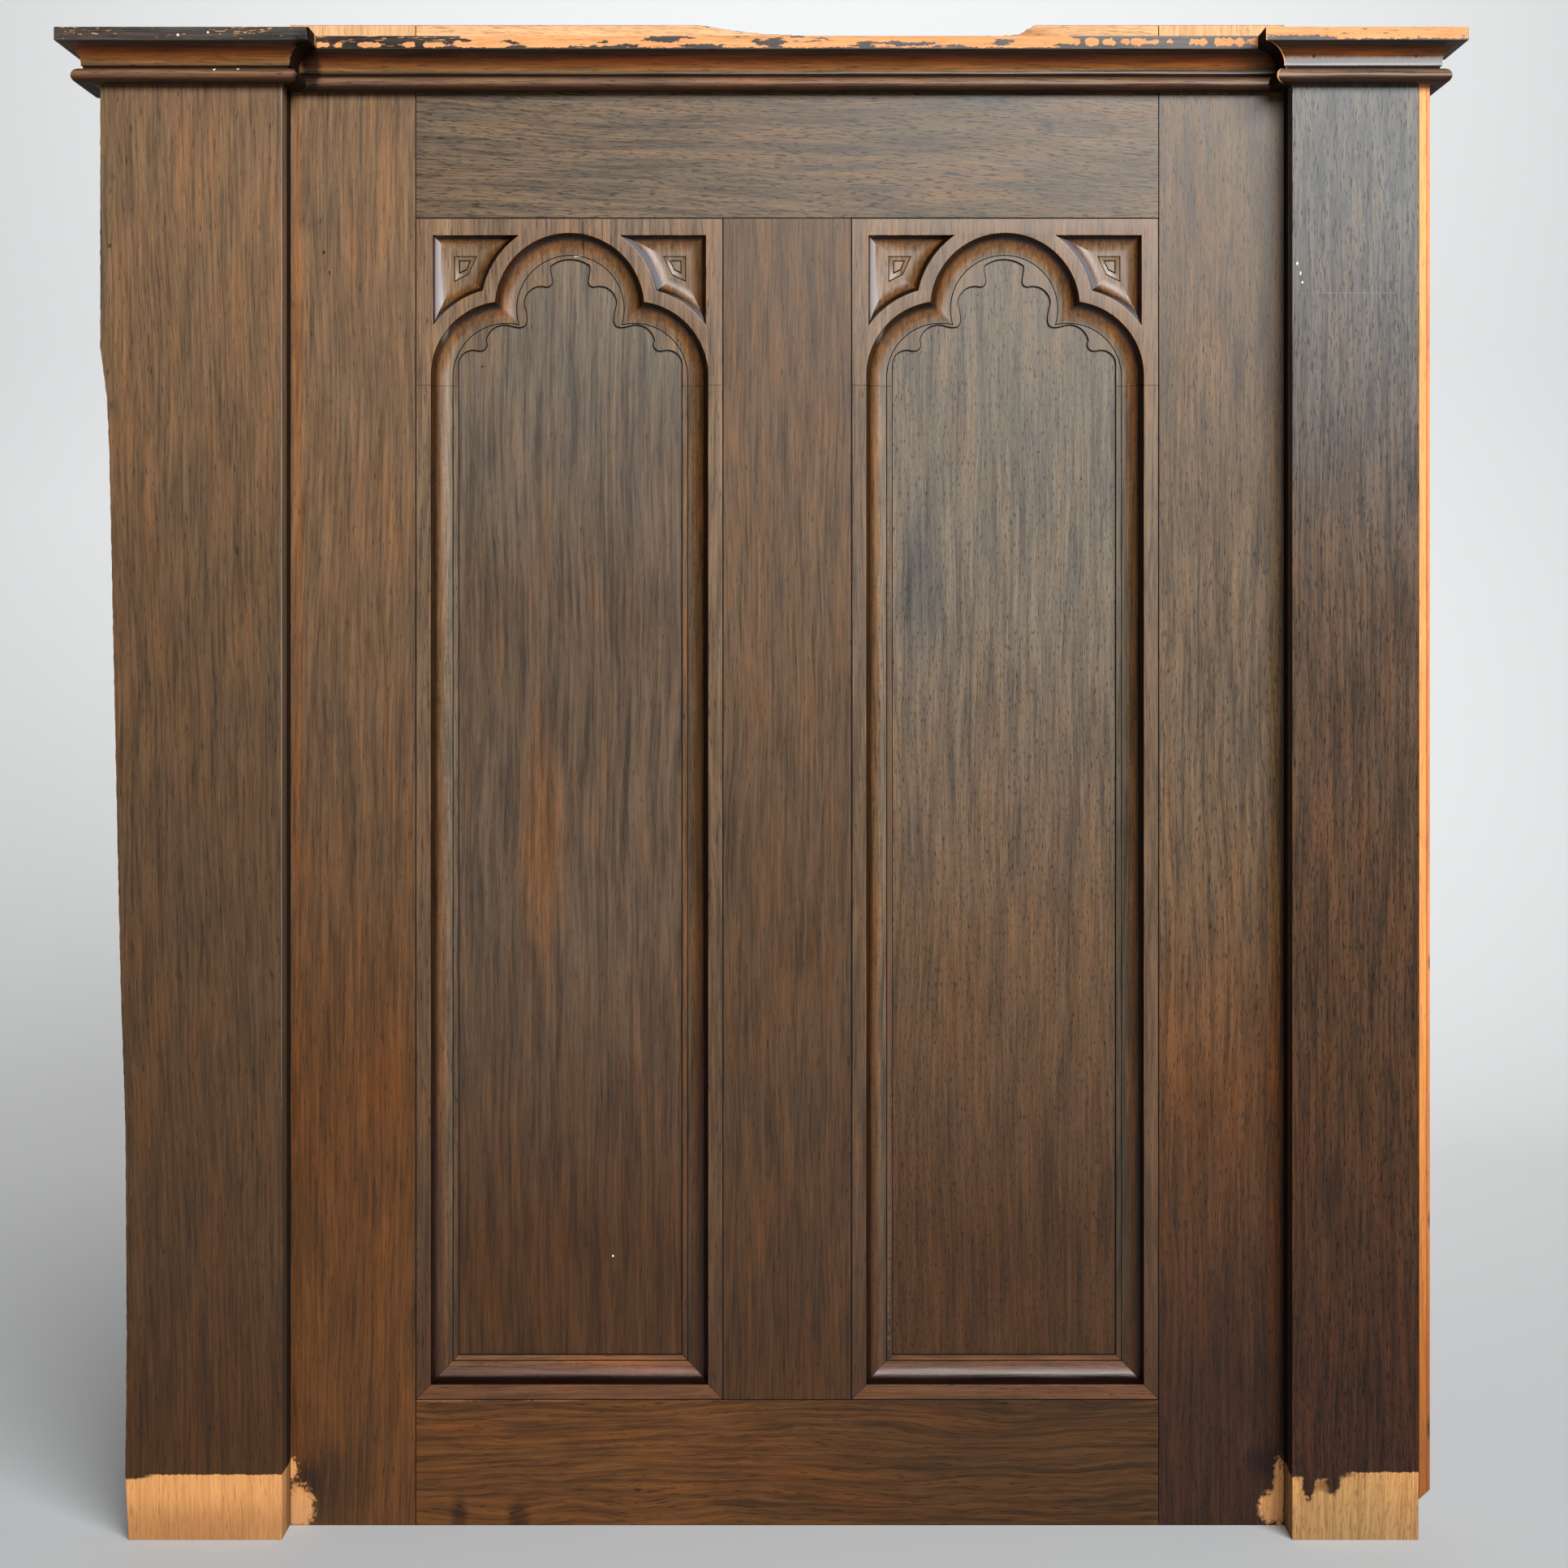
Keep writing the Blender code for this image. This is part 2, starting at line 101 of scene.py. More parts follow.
class Graph:
    """A material being wired up. Numbers and sockets can both be given as inputs."""

    def __init__(self, name):
        self.material = bpy.data.materials.new(name)
        self.material.use_nodes = True
        self.tree = self.material.node_tree
        self.shader = self.tree.nodes["Principled BSDF"]
        coords = self.add("ShaderNodeTexCoord")
        self.point = self.vector("SCALE", coords.outputs["Object"], scale=1000)
        self.x, self.y, self.z = self.split(self.point)
        self.facing = self.split(coords.outputs["Normal"])
        self.rough = None

    def add(self, kind, **settings):
        node = self.tree.nodes.new(kind)
        for key, value in settings.items():
            setattr(node, key, value)
        return node

    def put(self, socket, value):
        if isinstance(value, bpy.types.NodeSocket):
            self.tree.links.new(value, socket)
        elif socket.type == "RGBA" and len(value) == 3:
            socket.default_value = (*value, 1.0)
        else:
            socket.default_value = value

    def math(self, operation, *values, clamp=False):
        node = self.add("ShaderNodeMath", operation=operation, use_clamp=clamp)
        for socket, value in zip(node.inputs, values):
            self.put(socket, value)
        return node.outputs[0]

    def times(self, one, other):
        return self.math("MULTIPLY", one, other)

    def times_plus(self, value, factor, extra):
        return self.math("MULTIPLY_ADD", value, factor, extra)

    def minus(self, value, less):
        return self.math("SUBTRACT", value, less)

    def over(self, value, divisor):
        return self.math("DIVIDE", value, divisor)

    def vector(self, operation, *values, scale=None):
        node = self.add("ShaderNodeVectorMath", operation=operation)
        for socket, value in zip(node.inputs, values):
            self.put(socket, value)
        if scale is not None:
            node.inputs["Scale"].default_value = scale
        return node.outputs["Value" if operation == "LENGTH" else "Vector"]

    def split(self, vector):
        node = self.add("ShaderNodeSeparateXYZ")
        self.put(node.inputs[0], vector)
        return node.outputs[:3]

    def join(self, x, y, z):
        node = self.add("ShaderNodeCombineXYZ")
        for socket, value in zip(node.inputs, (x, y, z)):
            self.put(socket, value)
        return node.outputs[0]

    def noise(self, vector, detail=2.0, roughness=0.5):
        node = self.add("ShaderNodeTexNoise")
        self.put(node.inputs["Vector"], vector)
        node.inputs["Scale"].default_value = 1.0
        node.inputs["Detail"].default_value = detail
        node.inputs["Roughness"].default_value = roughness
        return node.outputs["Fac"]

    def span(self, value, low, high, to_low=0.0, to_high=1.0):
        node = self.add("ShaderNodeMapRange", interpolation_type="SMOOTHSTEP")
        for key, number in (
            ("Value", value), ("From Min", low), ("From Max", high),
            ("To Min", to_low), ("To Max", to_high),
        ):
            self.put(node.inputs[key], number)
        return node.outputs[0]

    def mix(self, share, first, second, blend="MIX"):
        """Two colours mixed: inputs 6 and 7 of the node, and its output 2."""
        node = self.add("ShaderNodeMix", data_type="RGBA", blend_type=blend)
        self.put(node.inputs["Factor"], share)
        self.put(node.inputs[6], first)
        self.put(node.inputs[7], second)
        return node.outputs[2]

    def tint(self, share, colour, factors):
        """colour, multiplied by factors where share is 1."""
        return self.mix(share, colour, factors, "MULTIPLY")

    def by_height(self, stops):
        """A colour that changes with the height in mm."""
        node = self.add("ShaderNodeValToRGB")
        top = FRAME_TOP / MM
        self.put(node.inputs[0], self.over(self.z, top))
        ramp = node.color_ramp
        while len(ramp.elements) < len(stops):
            ramp.elements.new(0.5)
        for element, (height, colour) in zip(ramp.elements, stops):
            element.position = height / top
            element.color = (*linear(*colour), 1.0)
        return node.outputs[0]

    def ragged(self):
        """Noise that makes the borders of stains ragged, made once for a material."""
        if self.rough is None:
            wave = self.noise(self.vector("SCALE", self.point, scale=0.30), 3.0, 0.65)
            self.rough = self.minus(wave, 0.5)
        return self.rough

    def spot(self, x, z, radius_x, radius_z, ragged=0.0, soft=0.25):
        """1 inside an oval on the front, 0 outside, with a ragged or a soft border."""
        place = self.join(
            self.over(self.minus(self.x, x), radius_x), 0.0,
            self.over(self.minus(self.z, z), radius_z),
        )
        distance = self.vector("LENGTH", place)
        if ragged:
            distance = self.times_plus(self.ragged(), 3.0 * ragged, distance)
        return self.span(distance, 1.0 + soft, 1.0 - soft)

    def either(self, *shares):
        result = shares[0]
        for share in shares[1:]:
            result = self.math("MAXIMUM", result, share)
        return result

    def without(self, share, other):
        return self.times(share, self.minus(1.0, other))


def stain(x, z, radius_x, radius_z, factors, ragged=0.0, soft=0.6):
    """A mark that multiplies the colour inside an oval: stains, and painted light and shade where a
    comment says so.
    """
    return lambda g, colour: g.tint(
        g.spot(x, z, radius_x, radius_z, ragged, soft), colour, factors
    )


def chip(x, z, radius_x, radius_z, colour, ragged=0.5, soft=0.15):
    """A mark that lays another colour over an oval: chips and bare wood, and painted highlights and
    sheen where a comment says so.
    """
    return lambda g, under: g.mix(
        g.spot(x, z, radius_x, radius_z, ragged, soft), under, linear(*colour)
    )


def on_front(mark):
    """Keeps a mark off the sides of a board."""
    return lambda g, colour: g.mix(g.span(g.facing[1], -0.4, -0.8), colour, mark(g, colour))


def grained(g, axis, across, along, seed, source=None):
    """The point, squeezed so that one unit of noise is this many mm across and along."""
    factors = [1 / across] * 3
    factors[axis] = 1 / along
    moved = g.vector("ADD", source or g.point, (17.3 * seed, 31.7 * seed, 23.9 * seed))
    return g.vector("MULTIPLY", moved, tuple(factors))


# Bare wood by height, paler higher up: painted light that falls off towards the floor, strongest on
# the cut edge of the outer returns
BARE = ((0, (176, 126, 80)), (40, (198, 138, 82)), (1219, (206, 158, 112)))
BARE_EDGE = (
    (30, (132, 74, 20)), (150, (156, 88, 24)), (420, (204, 130, 64)), (1150, (222, 152, 92)),
)


def oak(
    name, axis, tones, seed, slant=0.0, wander=16.0, contrast=1.0, mottle=1.0,
    pores=(0.9, 13.0, 0.64, 0.75), rings=None, hollow=None, bare=None, bare_tones=BARE,
    marks=(), gloss=0.34, level=0.36, bare_marks=(),
):
    """Stained oak with its grain along axis.

    tones: colours by height in mm. pores: mm across, mm along, where they start, how dark.
    hollow: how steep a face is where it turns black and where it turns brown, with painted shade and
    stain in the hollows.
    bare: a function that gives the share of bare wood.
    """
    g = Graph(name)
    # Grain that leans and wanders
    drift = g.noise(grained(g, axis, 60, 230, seed + 3), 3.0, 0.45)
    drift = g.times(g.minus(drift, 0.5), wander)
    if slant:
        drift = g.times_plus((g.x, g.y, g.z)[axis], slant, drift)
    side = 0 if axis == 2 else 2
    shift = [0.0, 0.0, 0.0]
    shift[side] = drift
    bent = g.vector("ADD", g.point, g.join(*shift))

    streak = g.noise(grained(g, axis, 2.3, 80, seed, bent), 3.0, 0.6)
    fibre = g.noise(grained(g, axis, 0.8, 17, seed + 7, bent), 1.0)
    cloud = g.noise(grained(g, axis, 10, 100, seed + 11, bent), 2.0, 0.55)
    patch = g.noise(grained(g, axis, 42, 120, seed + 13), 2.0, 0.5)
    across, along, start, depth = pores
    pore = g.noise(grained(g, axis, across, along, seed + 17, bent), 1.0)
    pore = g.span(pore, start, start + 0.07)

    shade = g.times(g.minus(streak, 0.5), 2.0 * contrast)
    shade = g.times_plus(g.minus(fibre, 0.5), 1.0 * contrast, shade)
    shade = g.times_plus(g.minus(cloud, 0.5), 1.1 * contrast, shade)
    if rings:
        spacing, strength = rings
        wave = g.over(g.split(bent)[side], spacing / 6.283)
        wave = g.math("SINE", g.times_plus(patch, 14.0, wave))
        shade = g.times_plus(wave, strength, shade)
    shade = g.math("ADD", shade, 0.5, clamp=True)

    colour = g.by_height(tones)
    colour = g.tint(1.0, colour, g.mix(shade, (0.56, 0.56, 0.58), (1.46, 1.43, 1.38)))
    hue = g.math("ADD", g.times(cloud, 0.6), g.times(patch, 0.6))
    warm = g.span(hue, 0.60, 0.80, 0.0, 0.5 * mottle)
    cold = g.span(hue, 0.60, 0.42, 0.0, 0.5 * mottle)
    colour = g.tint(warm, colour, (1.32, 1.05, 0.78))
    colour = g.tint(cold, colour, (0.76, 0.88, 1.02))
    colour = g.tint(g.times(pore, depth), colour, (0.20, 0.19, 0.20))

    roughness = g.span(streak, 0.3, 0.7, gloss - 0.04, gloss + 0.07)
    facing = g.math("ABSOLUTE", g.facing[1])
    # Steep walls of hollows turn brown, then black: stain gathered there and painted shade, the black
    # weaker on walls that face the window
    if hollow:
        black, brown = hollow
        steep = g.times_plus(g.ragged(), 0.10, facing)
        colour = g.tint(g.span(steep, 0.995, brown), colour, (0.84, 0.63, 0.38))
        lit = g.span(g.facing[0], 0.1, 0.6, 1.0, 0.8)
        dark = g.times(g.span(steep, brown, black), lit)
        colour = g.tint(dark, colour, (0.07, 0.05, 0.05))
        roughness = g.times_plus(g.span(steep, brown, black), -0.08, roughness)
    for mark in marks:
        colour = mark(g, colour)

    # Worn arrises are paler
    worn = g.add("ShaderNodeAttribute", attribute_name="worn").outputs["Fac"]
    rub = g.times(worn, g.span(cloud, 0.40, 0.60, 0.15, 1.0))
    colour = g.mix(g.times(rub, 0.5), colour, g.tint(1.0, colour, (2.2, 2.0, 1.8)))
    dirt_and_shade = g.add("ShaderNodeAttribute", attribute_name="dirt_and_shade").outputs["Fac"]

    # Faces that look down, sideways or back reflect less
    dull = g.span(facing, 0.35, 0.10)
    roughness = g.times_plus(g.either(dull, dirt_and_shade), 0.5, roughness)

    # The back is raw wood, grey with dust
    rear = g.span(g.facing[1], 0.4, 0.7)
    raw = g.mix(shade, linear(88, 62, 42), linear(150, 112, 78))
    raw = g.tint(g.span(patch, 0.45, 0.7, 0.0, 0.6), raw, (0.72, 0.74, 0.78))
    colour = g.mix(rear, colour, raw)
    roughness = g.times_plus(rear, 0.35, roughness)

    height = g.times_plus(streak, 0.4, g.times(fibre, 0.4))
    if bare:
        pale = g.by_height(bare_tones)
        pale = g.tint(1.0, pale, g.mix(shade, (0.78, 0.75, 0.70), (1.17, 1.19, 1.22)))
        pale = g.tint(g.times(pore, 0.5), pale, (0.40, 0.30, 0.24))
        for mark in bare_marks:
            pale = mark(g, pale)
        share = g.times(bare(g), g.minus(1.0, rear))
        colour = g.mix(share, colour, pale)
        roughness = g.times_plus(share, 0.35, roughness)
    # Darkened faces: dirt in the joints, painted shade in the grooves, at the cusped layer's edge,
    # round the nailheads and in the cornice's quirk
    colour = g.tint(dirt_and_shade, colour, (0.10, 0.085, 0.08))

    bump = g.add("ShaderNodeBump")
    bump.inputs["Strength"].default_value = 0.35
    bump.inputs["Distance"].default_value = 0.0003
    g.put(bump.inputs["Height"], height)
    g.put(g.shader.inputs["Normal"], bump.outputs[0])
    g.put(g.shader.inputs["Base Color"], colour)
    g.put(g.shader.inputs["Roughness"], roughness)
    g.shader.inputs["Specular IOR Level"].default_value = level
    return g.material


# Mesh helpers

SHARP_ANGLE = 32

# Boards are cut into cells of this size, but not across a thin one, and the skin is uneven
CELL = 0.024
THIN = 0.03
SKIN = 0.002
UNEVEN = 0.00008


def finish_mesh(node, bm, material):
    """Turns bm into the piece that stands for the CAD node."""
    bmesh.ops.recalc_face_normals(bm, faces=bm.faces)
    mesh = bpy.data.meshes.new(node + "_worked")
    bm.to_mesh(mesh)
    bm.free()
    mesh.shade_smooth()
    mesh.set_sharp_from_angle(angle=math.radians(SHARP_ANGLE))
    mesh.materials.append(material)
    piece = bpy.data.objects.new(node + "_worked", mesh)
    bpy.context.scene.collection.objects.link(piece)
    weighted = piece.modifiers.new("even_faces", "WEIGHTED_NORMAL")
    weighted.keep_sharp = True
    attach(piece, "root")
    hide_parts(node)


def wobble(point, size, amount, seed):
    return amount * noise.noise(Vector(point) / size + Vector((seed, 2 * seed, 3 * seed)))


def refined(node, material, slot, seed, arris=0.0005, edge="worn", rough=None, fine=()):
    """A board: the CAD solid with eased arrises, a slightly uneven face and ragged edges.

    fine: (axis, start, end, step) for extra cuts. rough moves a vertex.
    """
    bm = bmesh.new()
    bm.from_mesh(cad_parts[node].data)
    marked = bm.faces.layers.float.new(edge)
    bmesh.ops.remove_doubles(bm, verts=bm.verts, dist=1e-5)
    bmesh.ops.dissolve_limit(
        bm, angle_limit=math.radians(0.5), verts=bm.verts[:], edges=bm.edges[:]
    )
    sharp = [
        e for e in bm.edges
        if len(e.link_faces) == 2 and e.calc_face_angle(0) > math.radians(40)
    ]
    eased = bmesh.ops.bevel(
        bm, geom=sharp, offset=arris, segments=2, profile=0.6, affect="EDGES", clamp_overlap=True
    )
    for face in eased["faces"]:
        face[marked] = 1.0
    low = Vector([min(v.co[i] for v in bm.verts) for i in range(3)])
    high = Vector([max(v.co[i] for v in bm.verts) for i in range(3)])
    for axis in (2, 0):
        size = high[axis] - low[axis]
        if size < THIN:
            continue
        count = max(1, round(size / CELL))
        cuts = [low[axis] + size * (i + 0.5) / count for i in range(count)]
        for which, start, end, step in fine:
            if which == axis:
                cuts = [c for c in cuts if not start < c < end]
                cuts += [start + step * i for i in range(int((end - start) / step) + 1)]
        normal = Vector((0, 0, 0))
        normal[axis] = 1
        for cut in cuts:
            place = Vector((0, 0, 0))
            place[axis] = cut
            bmesh.ops.bisect_plane(
                bm, geom=bm.verts[:] + bm.edges[:] + bm.faces[:], plane_co=place,
                plane_no=normal, dist=1e-6,
            )
    for vert in bm.verts:
        if low.y + SKIN > vert.co.y:
            vert.co.y += UNEVEN + wobble(vert.co, 0.09, UNEVEN, seed)
        if rough:
            rough(vert)
    finish_mesh(node, bm, material)


def ragged_side(vert):
    """The cut left edge of the left pilaster."""
    if vert.co.x < -0.5:
        vert.co.x += 0.0003 + wobble((0, vert.co.y, vert.co.z), 0.006, 0.0005, 3)


def broken_top(vert):
    """The torn upper edge of the top rail."""
    low = CORNICE_TOP + 0.0005
    if low < vert.co.z < FRAME_TOP - 0.0012 and abs(vert.co.x) < 0.3:
        tear = wobble((vert.co.x, vert.co.y, 0), 0.0035, 0.0012, 5)
        vert.co.z = min(FRAME_TOP, max(low, vert.co.z - 0.0004 + tear))


WORN = 1
# Faces of this kind are darkened: dirt in the joints, painted shade in the grooves and at the edge of
# the cusped layer
DIRT_AND_SHADE = 2
JOINT = 3


def paint_layers(bm):
    layers = bm.faces.layers.float
    # The second new layer makes a handle of the first one stale, so both are looked up after
    layers.new("worn")
    layers.new("dirt_and_shade")
    return {WORN: layers["worn"], DIRT_AND_SHADE: layers["dirt_and_shade"], JOINT: layers["dirt_and_shade"]}


def paint(face, layers, one, two):
    """Marks a face between two lines of points as a worn arris, or as a darkened one: dirt in a joint,
    painted shade in a groove.
    """
    if one and one == two:
        face[layers[one]] = 1.0


def swept(node, section, start, end, material, seed, ragged=(0, 0), step=0.009, wave=0.00012):
    """A moulding: start and end give the two end points of each point of the section.

    section holds (across, deep, kind of edge) for each point of the closed outline.
    """
    bm = bmesh.new()
    layers = paint_layers(bm)
    length = max((e - s).length for s, e in zip(start, end))
    count = max(2, round(length / step))
    rows = []
    for k in range(count + 1):
        t = k / count
        row = []
        for i, (s, e) in enumerate(zip(start, end)):
            point = s.lerp(e, t)
            along = (e - s).normalized()
            if 0 < k < count:
                push = wobble(point, 0.06, wave, seed + i * 0.11) + wave
                point = point + Vector((0, push + wobble(point, 0.012, 0.3 * wave, seed), 0))
            if k == 0 and ragged[0]:
                point = point + along * (0.5 + wobble(point, 0.003, 1.0, seed)) * ragged[0]
            if k == count and ragged[1]:
                point = point - along * (0.5 + wobble(point, 0.003, 1.0, seed)) * ragged[1]
            row.append(bm.verts.new(point))
        rows.append(row)
    for lower, upper in zip(rows, rows[1:]):
        for i, (_, _, kind) in enumerate(section):
            j = (i + 1) % len(section)
            face = bm.faces.new((lower[i], lower[j], upper[j], upper[i]))
            paint(face, layers, kind, section[j][2])
    bm.faces.new(rows[0])
    bm.faces.new(rows[-1])
    finish_mesh(node, bm, material)


# Outlines of the carving, round the middle of the crown lobe

LOBE_STEPS = 34
FOIL_STEPS = 12
COVE_STEPS = 16
SPANDREL_STEPS = 12
ARRIS = 0.0005
EASED = ((-ARRIS, 0.0), (-0.3 * ARRIS, 0.25 * ARRIS), (0.0, ARRIS))

# Edge of the cusped layer and of the lip: how far behind it, how deep
LIP_EDGE = (
    (0.0007, COVE_DEPTH), (0.0003, COVE_DEPTH + 0.0003), (0.0, COVE_DEPTH + 0.0009),
    (0.0, THICKNESS),
)


def arc(centre, radius, start, end, steps):
    points = []
    for i in range(steps + 1):
        angle = math.radians(start + (end - start) * i / steps)
        points.append((centre[0] + radius * math.cos(angle), centre[1] + radius * math.sin(angle)))
    return points


def bezier(start, first, second, end, steps):
    points = []
    for i in range(1, steps):
        t = i / steps
        weights = ((1 - t) ** 3, 3 * t * (1 - t) ** 2, 3 * t * t * (1 - t), t ** 3)
        corners = (start, first, second, end)
        points.append(tuple(sum(w * c[k] for w, c in zip(weights, corners)) for k in (0, 1)))
    return points


def mirrored(points):
    return [(-x, z) for x, z in reversed(points)]


def cove_profile(width, depth, steps):
    turns = [math.radians(90) * i / steps for i in range(1, steps + 1)]
    return [(width * (1 - math.cos(turn)), depth * math.sin(turn)) for turn in turns]


class Arch:
    """Outlines of one carved head, from the size of its CAD node."""

    def __init__(self, node):
        self.low, self.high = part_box(node)
        self.middle = (self.low.x + self.high.x) / 2
        self.half = (self.high.x - self.low.x) / 2
        self.opening = self.half - BORDER
        self.radius = LOBE_SHARE * self.opening
        self.drop = DROP_SHARE * self.opening
        self.offset = self.opening - self.radius
        self.crown = self.high.z - BORDER - self.radius
        self.bottom = self.low.z - self.crown
        self.top = self.high.z - self.crown
        self.side = (-self.offset, -self.drop)

    def meeting(self, radius):
        half = Vector((self.offset, self.drop)) / 2
        reach = math.sqrt(radius ** 2 - half.length_squared)
        return -half + Vector((-half.y, half.x)).normalized() * reach

    @staticmethod
    def angle(point, centre):
        return math.degrees(math.atan2(point[1] - centre[1], point[0] - centre[0])) % 360

    def edge(self, inset):
        """The trefoil-headed opening, moved in by inset, from foot to foot."""
        radius = self.radius - inset
        cusp = self.meeting(radius)
        left = arc(self.side, radius, 180, self.angle(cusp, self.side), LOBE_STEPS)
        crown = arc((0, 0), radius, self.angle(cusp, (0, 0)), 90, LOBE_STEPS)
        half = [(self.side[0] - radius, self.bottom)] + left + crown[1:]
        return half + mirrored(half[:-1])

    def tracery(self, grow):
        """Edge of the thin cusped layer, in shares of the radius inside the hollow."""
        unit = self.radius - COVE_WIDTH
        side = self.side

        def near(centre, across, up):
            return (centre[0] + across * unit, centre[1] + up * unit)

        crown = arc(near((0, 0), 0, 0.31), 0.602 * unit, 90, 126, FOIL_STEPS)
        shoulder = arc(near((0, 0), -0.536, 0.104), 0.312 * unit, 72, 180, FOIL_STEPS)
        flank = arc(near(side, -0.03, 0.61), 0.348 * unit, 80, 170, FOIL_STEPS)
        spring_radius = 0.26 * unit
        edge = self.opening - COVE_WIDTH - LIP_WIDTH
        centre = (spring_radius - edge, side[1] + 0.23 * unit)
        spring = arc(centre, spring_radius, 78, 180, FOIL_STEPS)
        noses = (
            (near((0, 0), -0.385, 0.633), near((0, 0), -0.226, 0.430)),
            (near((0, 0), -0.785, -0.15), near(side, 0.49, 0.79)),
            (near(side, -0.319, 0.586), near(side, -0.376, 0.428)),
        )
        half = list(crown)
        for (first, second), foil in zip(noses, (shoulder, flank, spring)):
            half += bezier(half[-1], first, second, foil[0], FOIL_STEPS) + foil
        half.append((-edge, self.bottom))
        half.reverse()
        points = half + mirrored(half[:-1])
        return pushed(points, grow) if grow else points

    def spandrel_corners(self, inset):
        radius = self.radius + SPANDREL_BAND + inset
        outer = -self.half + SPANDREL_MARGIN + inset
        top = self.top - SPANDREL_MARGIN - inset
        top_tip = (-math.sqrt(radius ** 2 - top ** 2), top)
        from_side = outer + self.offset
        outer_tip = (outer, math.sqrt(radius ** 2 - from_side ** 2) - self.drop)
        return (outer, top), top_tip, self.meeting(radius), outer_tip

    def spandrel(self, inset):
        corner, top_tip, cusp, outer_tip = self.spandrel_corners(inset)
        radius = self.radius + SPANDREL_BAND + inset
        over = arc(
            (0, 0), radius, self.angle(top_tip, (0, 0)), self.angle(cusp, (0, 0)), LOBE_STEPS
        )
        under = arc(
            self.side, radius, self.angle(cusp, self.side), self.angle(outer_tip, self.side),
            LOBE_STEPS,
        )
        return [corner] + over + under[1:]

    def nailhead(self, share):
        corners = self.spandrel_corners(SPANDREL_COVE)
        middle = [sum(w * c[k] for w, c in zip(NAILHEAD_WEIGHTS, corners)) for k in (0, 1)]
        return [tuple(m + share * (c - m) for c, m in zip(corner, middle)) for corner in corners]


def pushed(points, amount):
    """An open line of points moved sideways to its left by amount."""
    moved = []
    for i, point in enumerate(points):
        before = points[max(0, i - 1)]
        after = points[min(len(points) - 1, i + 1)]
        along = Vector((after[0] - before[0], after[1] - before[1])).normalized()
        moved.append((point[0] - along.y * amount, point[1] + along.x * amount))
    moved[0] = (moved[0][0], points[0][1])
    moved[-1] = (moved[-1][0], points[-1][1])
    return moved


def hollow_rings(width, depth, steps):
    """(inset, depth, kind) from the face, over the worn arris and down a hollow."""
    profile = cove_profile(width, depth, steps)
    rings = [(inset, deep, WORN) for inset, deep in EASED]
    return rings + [(inset, deep, 0) for inset, deep in profile if deep > ARRIS]


def cove_rings():
    """The hollow round the opening, with the incised line at its foot."""
    return hollow_rings(COVE_WIDTH, COVE_DEPTH, COVE_STEPS)[:-1] + [
        (COVE_WIDTH, COVE_DEPTH, DIRT_AND_SHADE), (COVE_WIDTH + 0.0004, COVE_DEPTH + 0.0008, DIRT_AND_SHADE),
        (COVE_WIDTH + 0.0008, COVE_DEPTH, DIRT_AND_SHADE),
    ]


